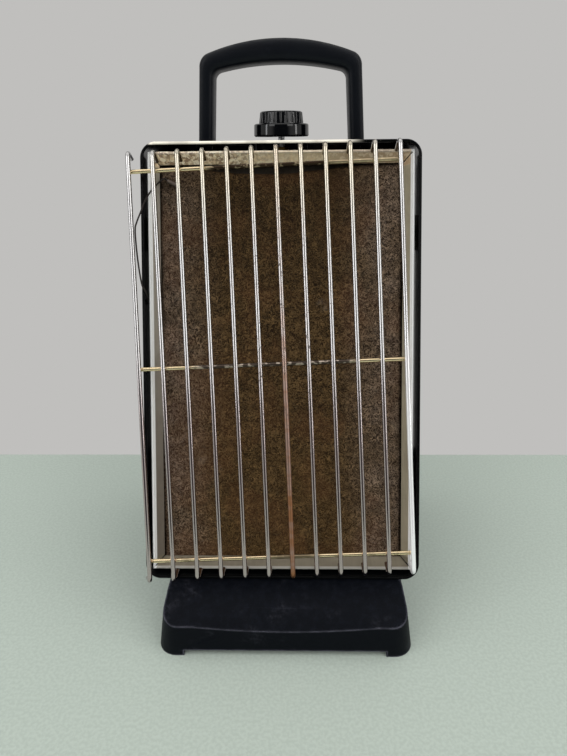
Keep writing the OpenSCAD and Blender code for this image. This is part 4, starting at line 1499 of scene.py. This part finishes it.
def finishes(span: SlopeSpan, hem: tuple[float, float, float]) -> dict[str, Finish]:
    """Lists the finish of every node that keeps its own shape.

    Args:
        span: where the burner frame lies.
        hem: middle of the case's top front hem, in millimetres.

    Returns:
        The finish by node name.
    """
    steel = Metal("plain_steel", colour=srgb(150, 147, 140), stain=srgb(96, 88, 76), gloss=0.34)
    zinc = Metal("zinc_screw", colour=srgb(176, 178, 180), stain=srgb(120, 114, 100), gloss=0.28, grain=0.3)
    brass = Metal(
        "machined_brass", colour=srgb(196, 160, 92), stain=srgb(120, 92, 52), gloss=0.26,
        streak=(0.3, 0.3, 1),
    )
    cast = Metal(
        "die_casting", colour=srgb(160, 162, 164), stain=srgb(118, 116, 112), gloss=0.42, streak=(1, 1, 1),
        grain=0.7, depth=0.03,
    )
    screen = Metal("pad_screen_steel", colour=srgb(86, 80, 72), stain=srgb(50, 40, 30), gloss=0.5)
    knob = SmoothPlastic("knob_plastic", colour=srgb(3, 4, 6), gloss=0.03, dusty=0.012, depth=0.0005)
    rubber = SmoothPlastic("seal_rubber", colour=srgb(20, 20, 20), gloss=0.6, depth=0.01, dusty=0.2)
    # Near black on the valve bracket and handle screws: painted shade for the deep gap round the frame.
    gap_shade = Metal("gap_shade_steel", colour=srgb(30, 30, 31), stain=srgb(16, 16, 16), gloss=0.5)
    scorched = Metal("scorched_tip", colour=srgb(120, 108, 100), stain=srgb(52, 42, 36), gloss=0.4)
    by_finish: list[tuple[Finish, tuple[str, ...]]] = [
        (GrainedPlastic("foot_plastic"), ("base",)),
        (GlossEnamel("case_enamel", *hem), ("case_wrapper",)),
        (HeatTintedSteel("frame_steel", span), ("pad_frame",)),
        (GuardWire("guard_wire", span), ("guard_bars",)),
        (GuardRod("guard_rod", span), ("guard_rods",)),
        (screen, ("pad_screen",)),
        (gap_shade, ("valve_bracket", "handle_screws")),
        (scorched, ("thermocouple_tip",)),
        (steel, (
            "burner_pan", "gas_spreader", "pan_brackets", "heat_shield", "shield_spacers", "mixer_tube",
        )),
        (zinc, (
            "base_screws", "bracket_screws", "case_side_screws", "shield_screws", "safety_plunger",
            "valve_stem", "knob_set_screw", "regulator_screws",
        )),
        (brass, ("valve_body", "bonnet_nut", "gas_riser", "inlet_socket", "gas_jet", "thermocouple_nut")),
        (cast, ("regulator_body", "regulator_cover")),
        (knob, ("knob",)),
        (rubber, ("inlet_seal",)),
    ]
    return {node: finish for finish, nodes in by_finish for node in nodes}


UNROUNDED: Sequence[str] = (
    "case_wrapper", "pad_frame", "guard_bars", "guard_rods", "heat_shield", "burner_pan", "pad_screen",
    "gas_spreader", "mixer_tube", "shield_spacers", "safety_plunger", "valve_stem", "gas_jet", "inlet_seal",
    "thermocouple_tip",
)
ROUNDING: Mapping[str, float] = {
    "base": 1.6, "knob": 0.35, "case_side_screws": 0.25, **{name: 0.0 for name in UNROUNDED},
}


def main() -> None:
    """Builds the studio and every sub-assembly in order."""
    logging.basicConfig(level=logging.INFO, format="%(name)s: %(message)s")
    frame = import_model()
    case_low, case_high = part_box("case_wrapper")
    middle = (case_low.x + case_high.x) / 2
    Studio(middle).build()
    seat = Vector((middle, case_low.y + SEAT_BEHIND * MM, case_low.z + SEAT_ABOVE * MM))
    face = SlopedFace(LEAN, seat)
    low, high = face.measure(frame["nodes"]["pad_frame"])
    span = SlopeSpan(middle / MM, seat.y / MM, seat.z / MM, LEAN, high.x, low.y, high.y)
    heater = Heater(frame, face, span, ROUNDING)
    hem_y = (seat.y + (case_high.z - seat.z) * math.tan(LEAN)) / MM
    hem = (middle / MM, hem_y, case_high.z / MM)
    for name, finish in finishes(span, hem).items():
        heater.dress(name, finish)
    pad = CatalystPad(heater)
    pad.build()
    pad.build_strands()
    CarryHandle(heater).build()
    SensorLead(heater).build()


if __name__ == "__main__":
    main()
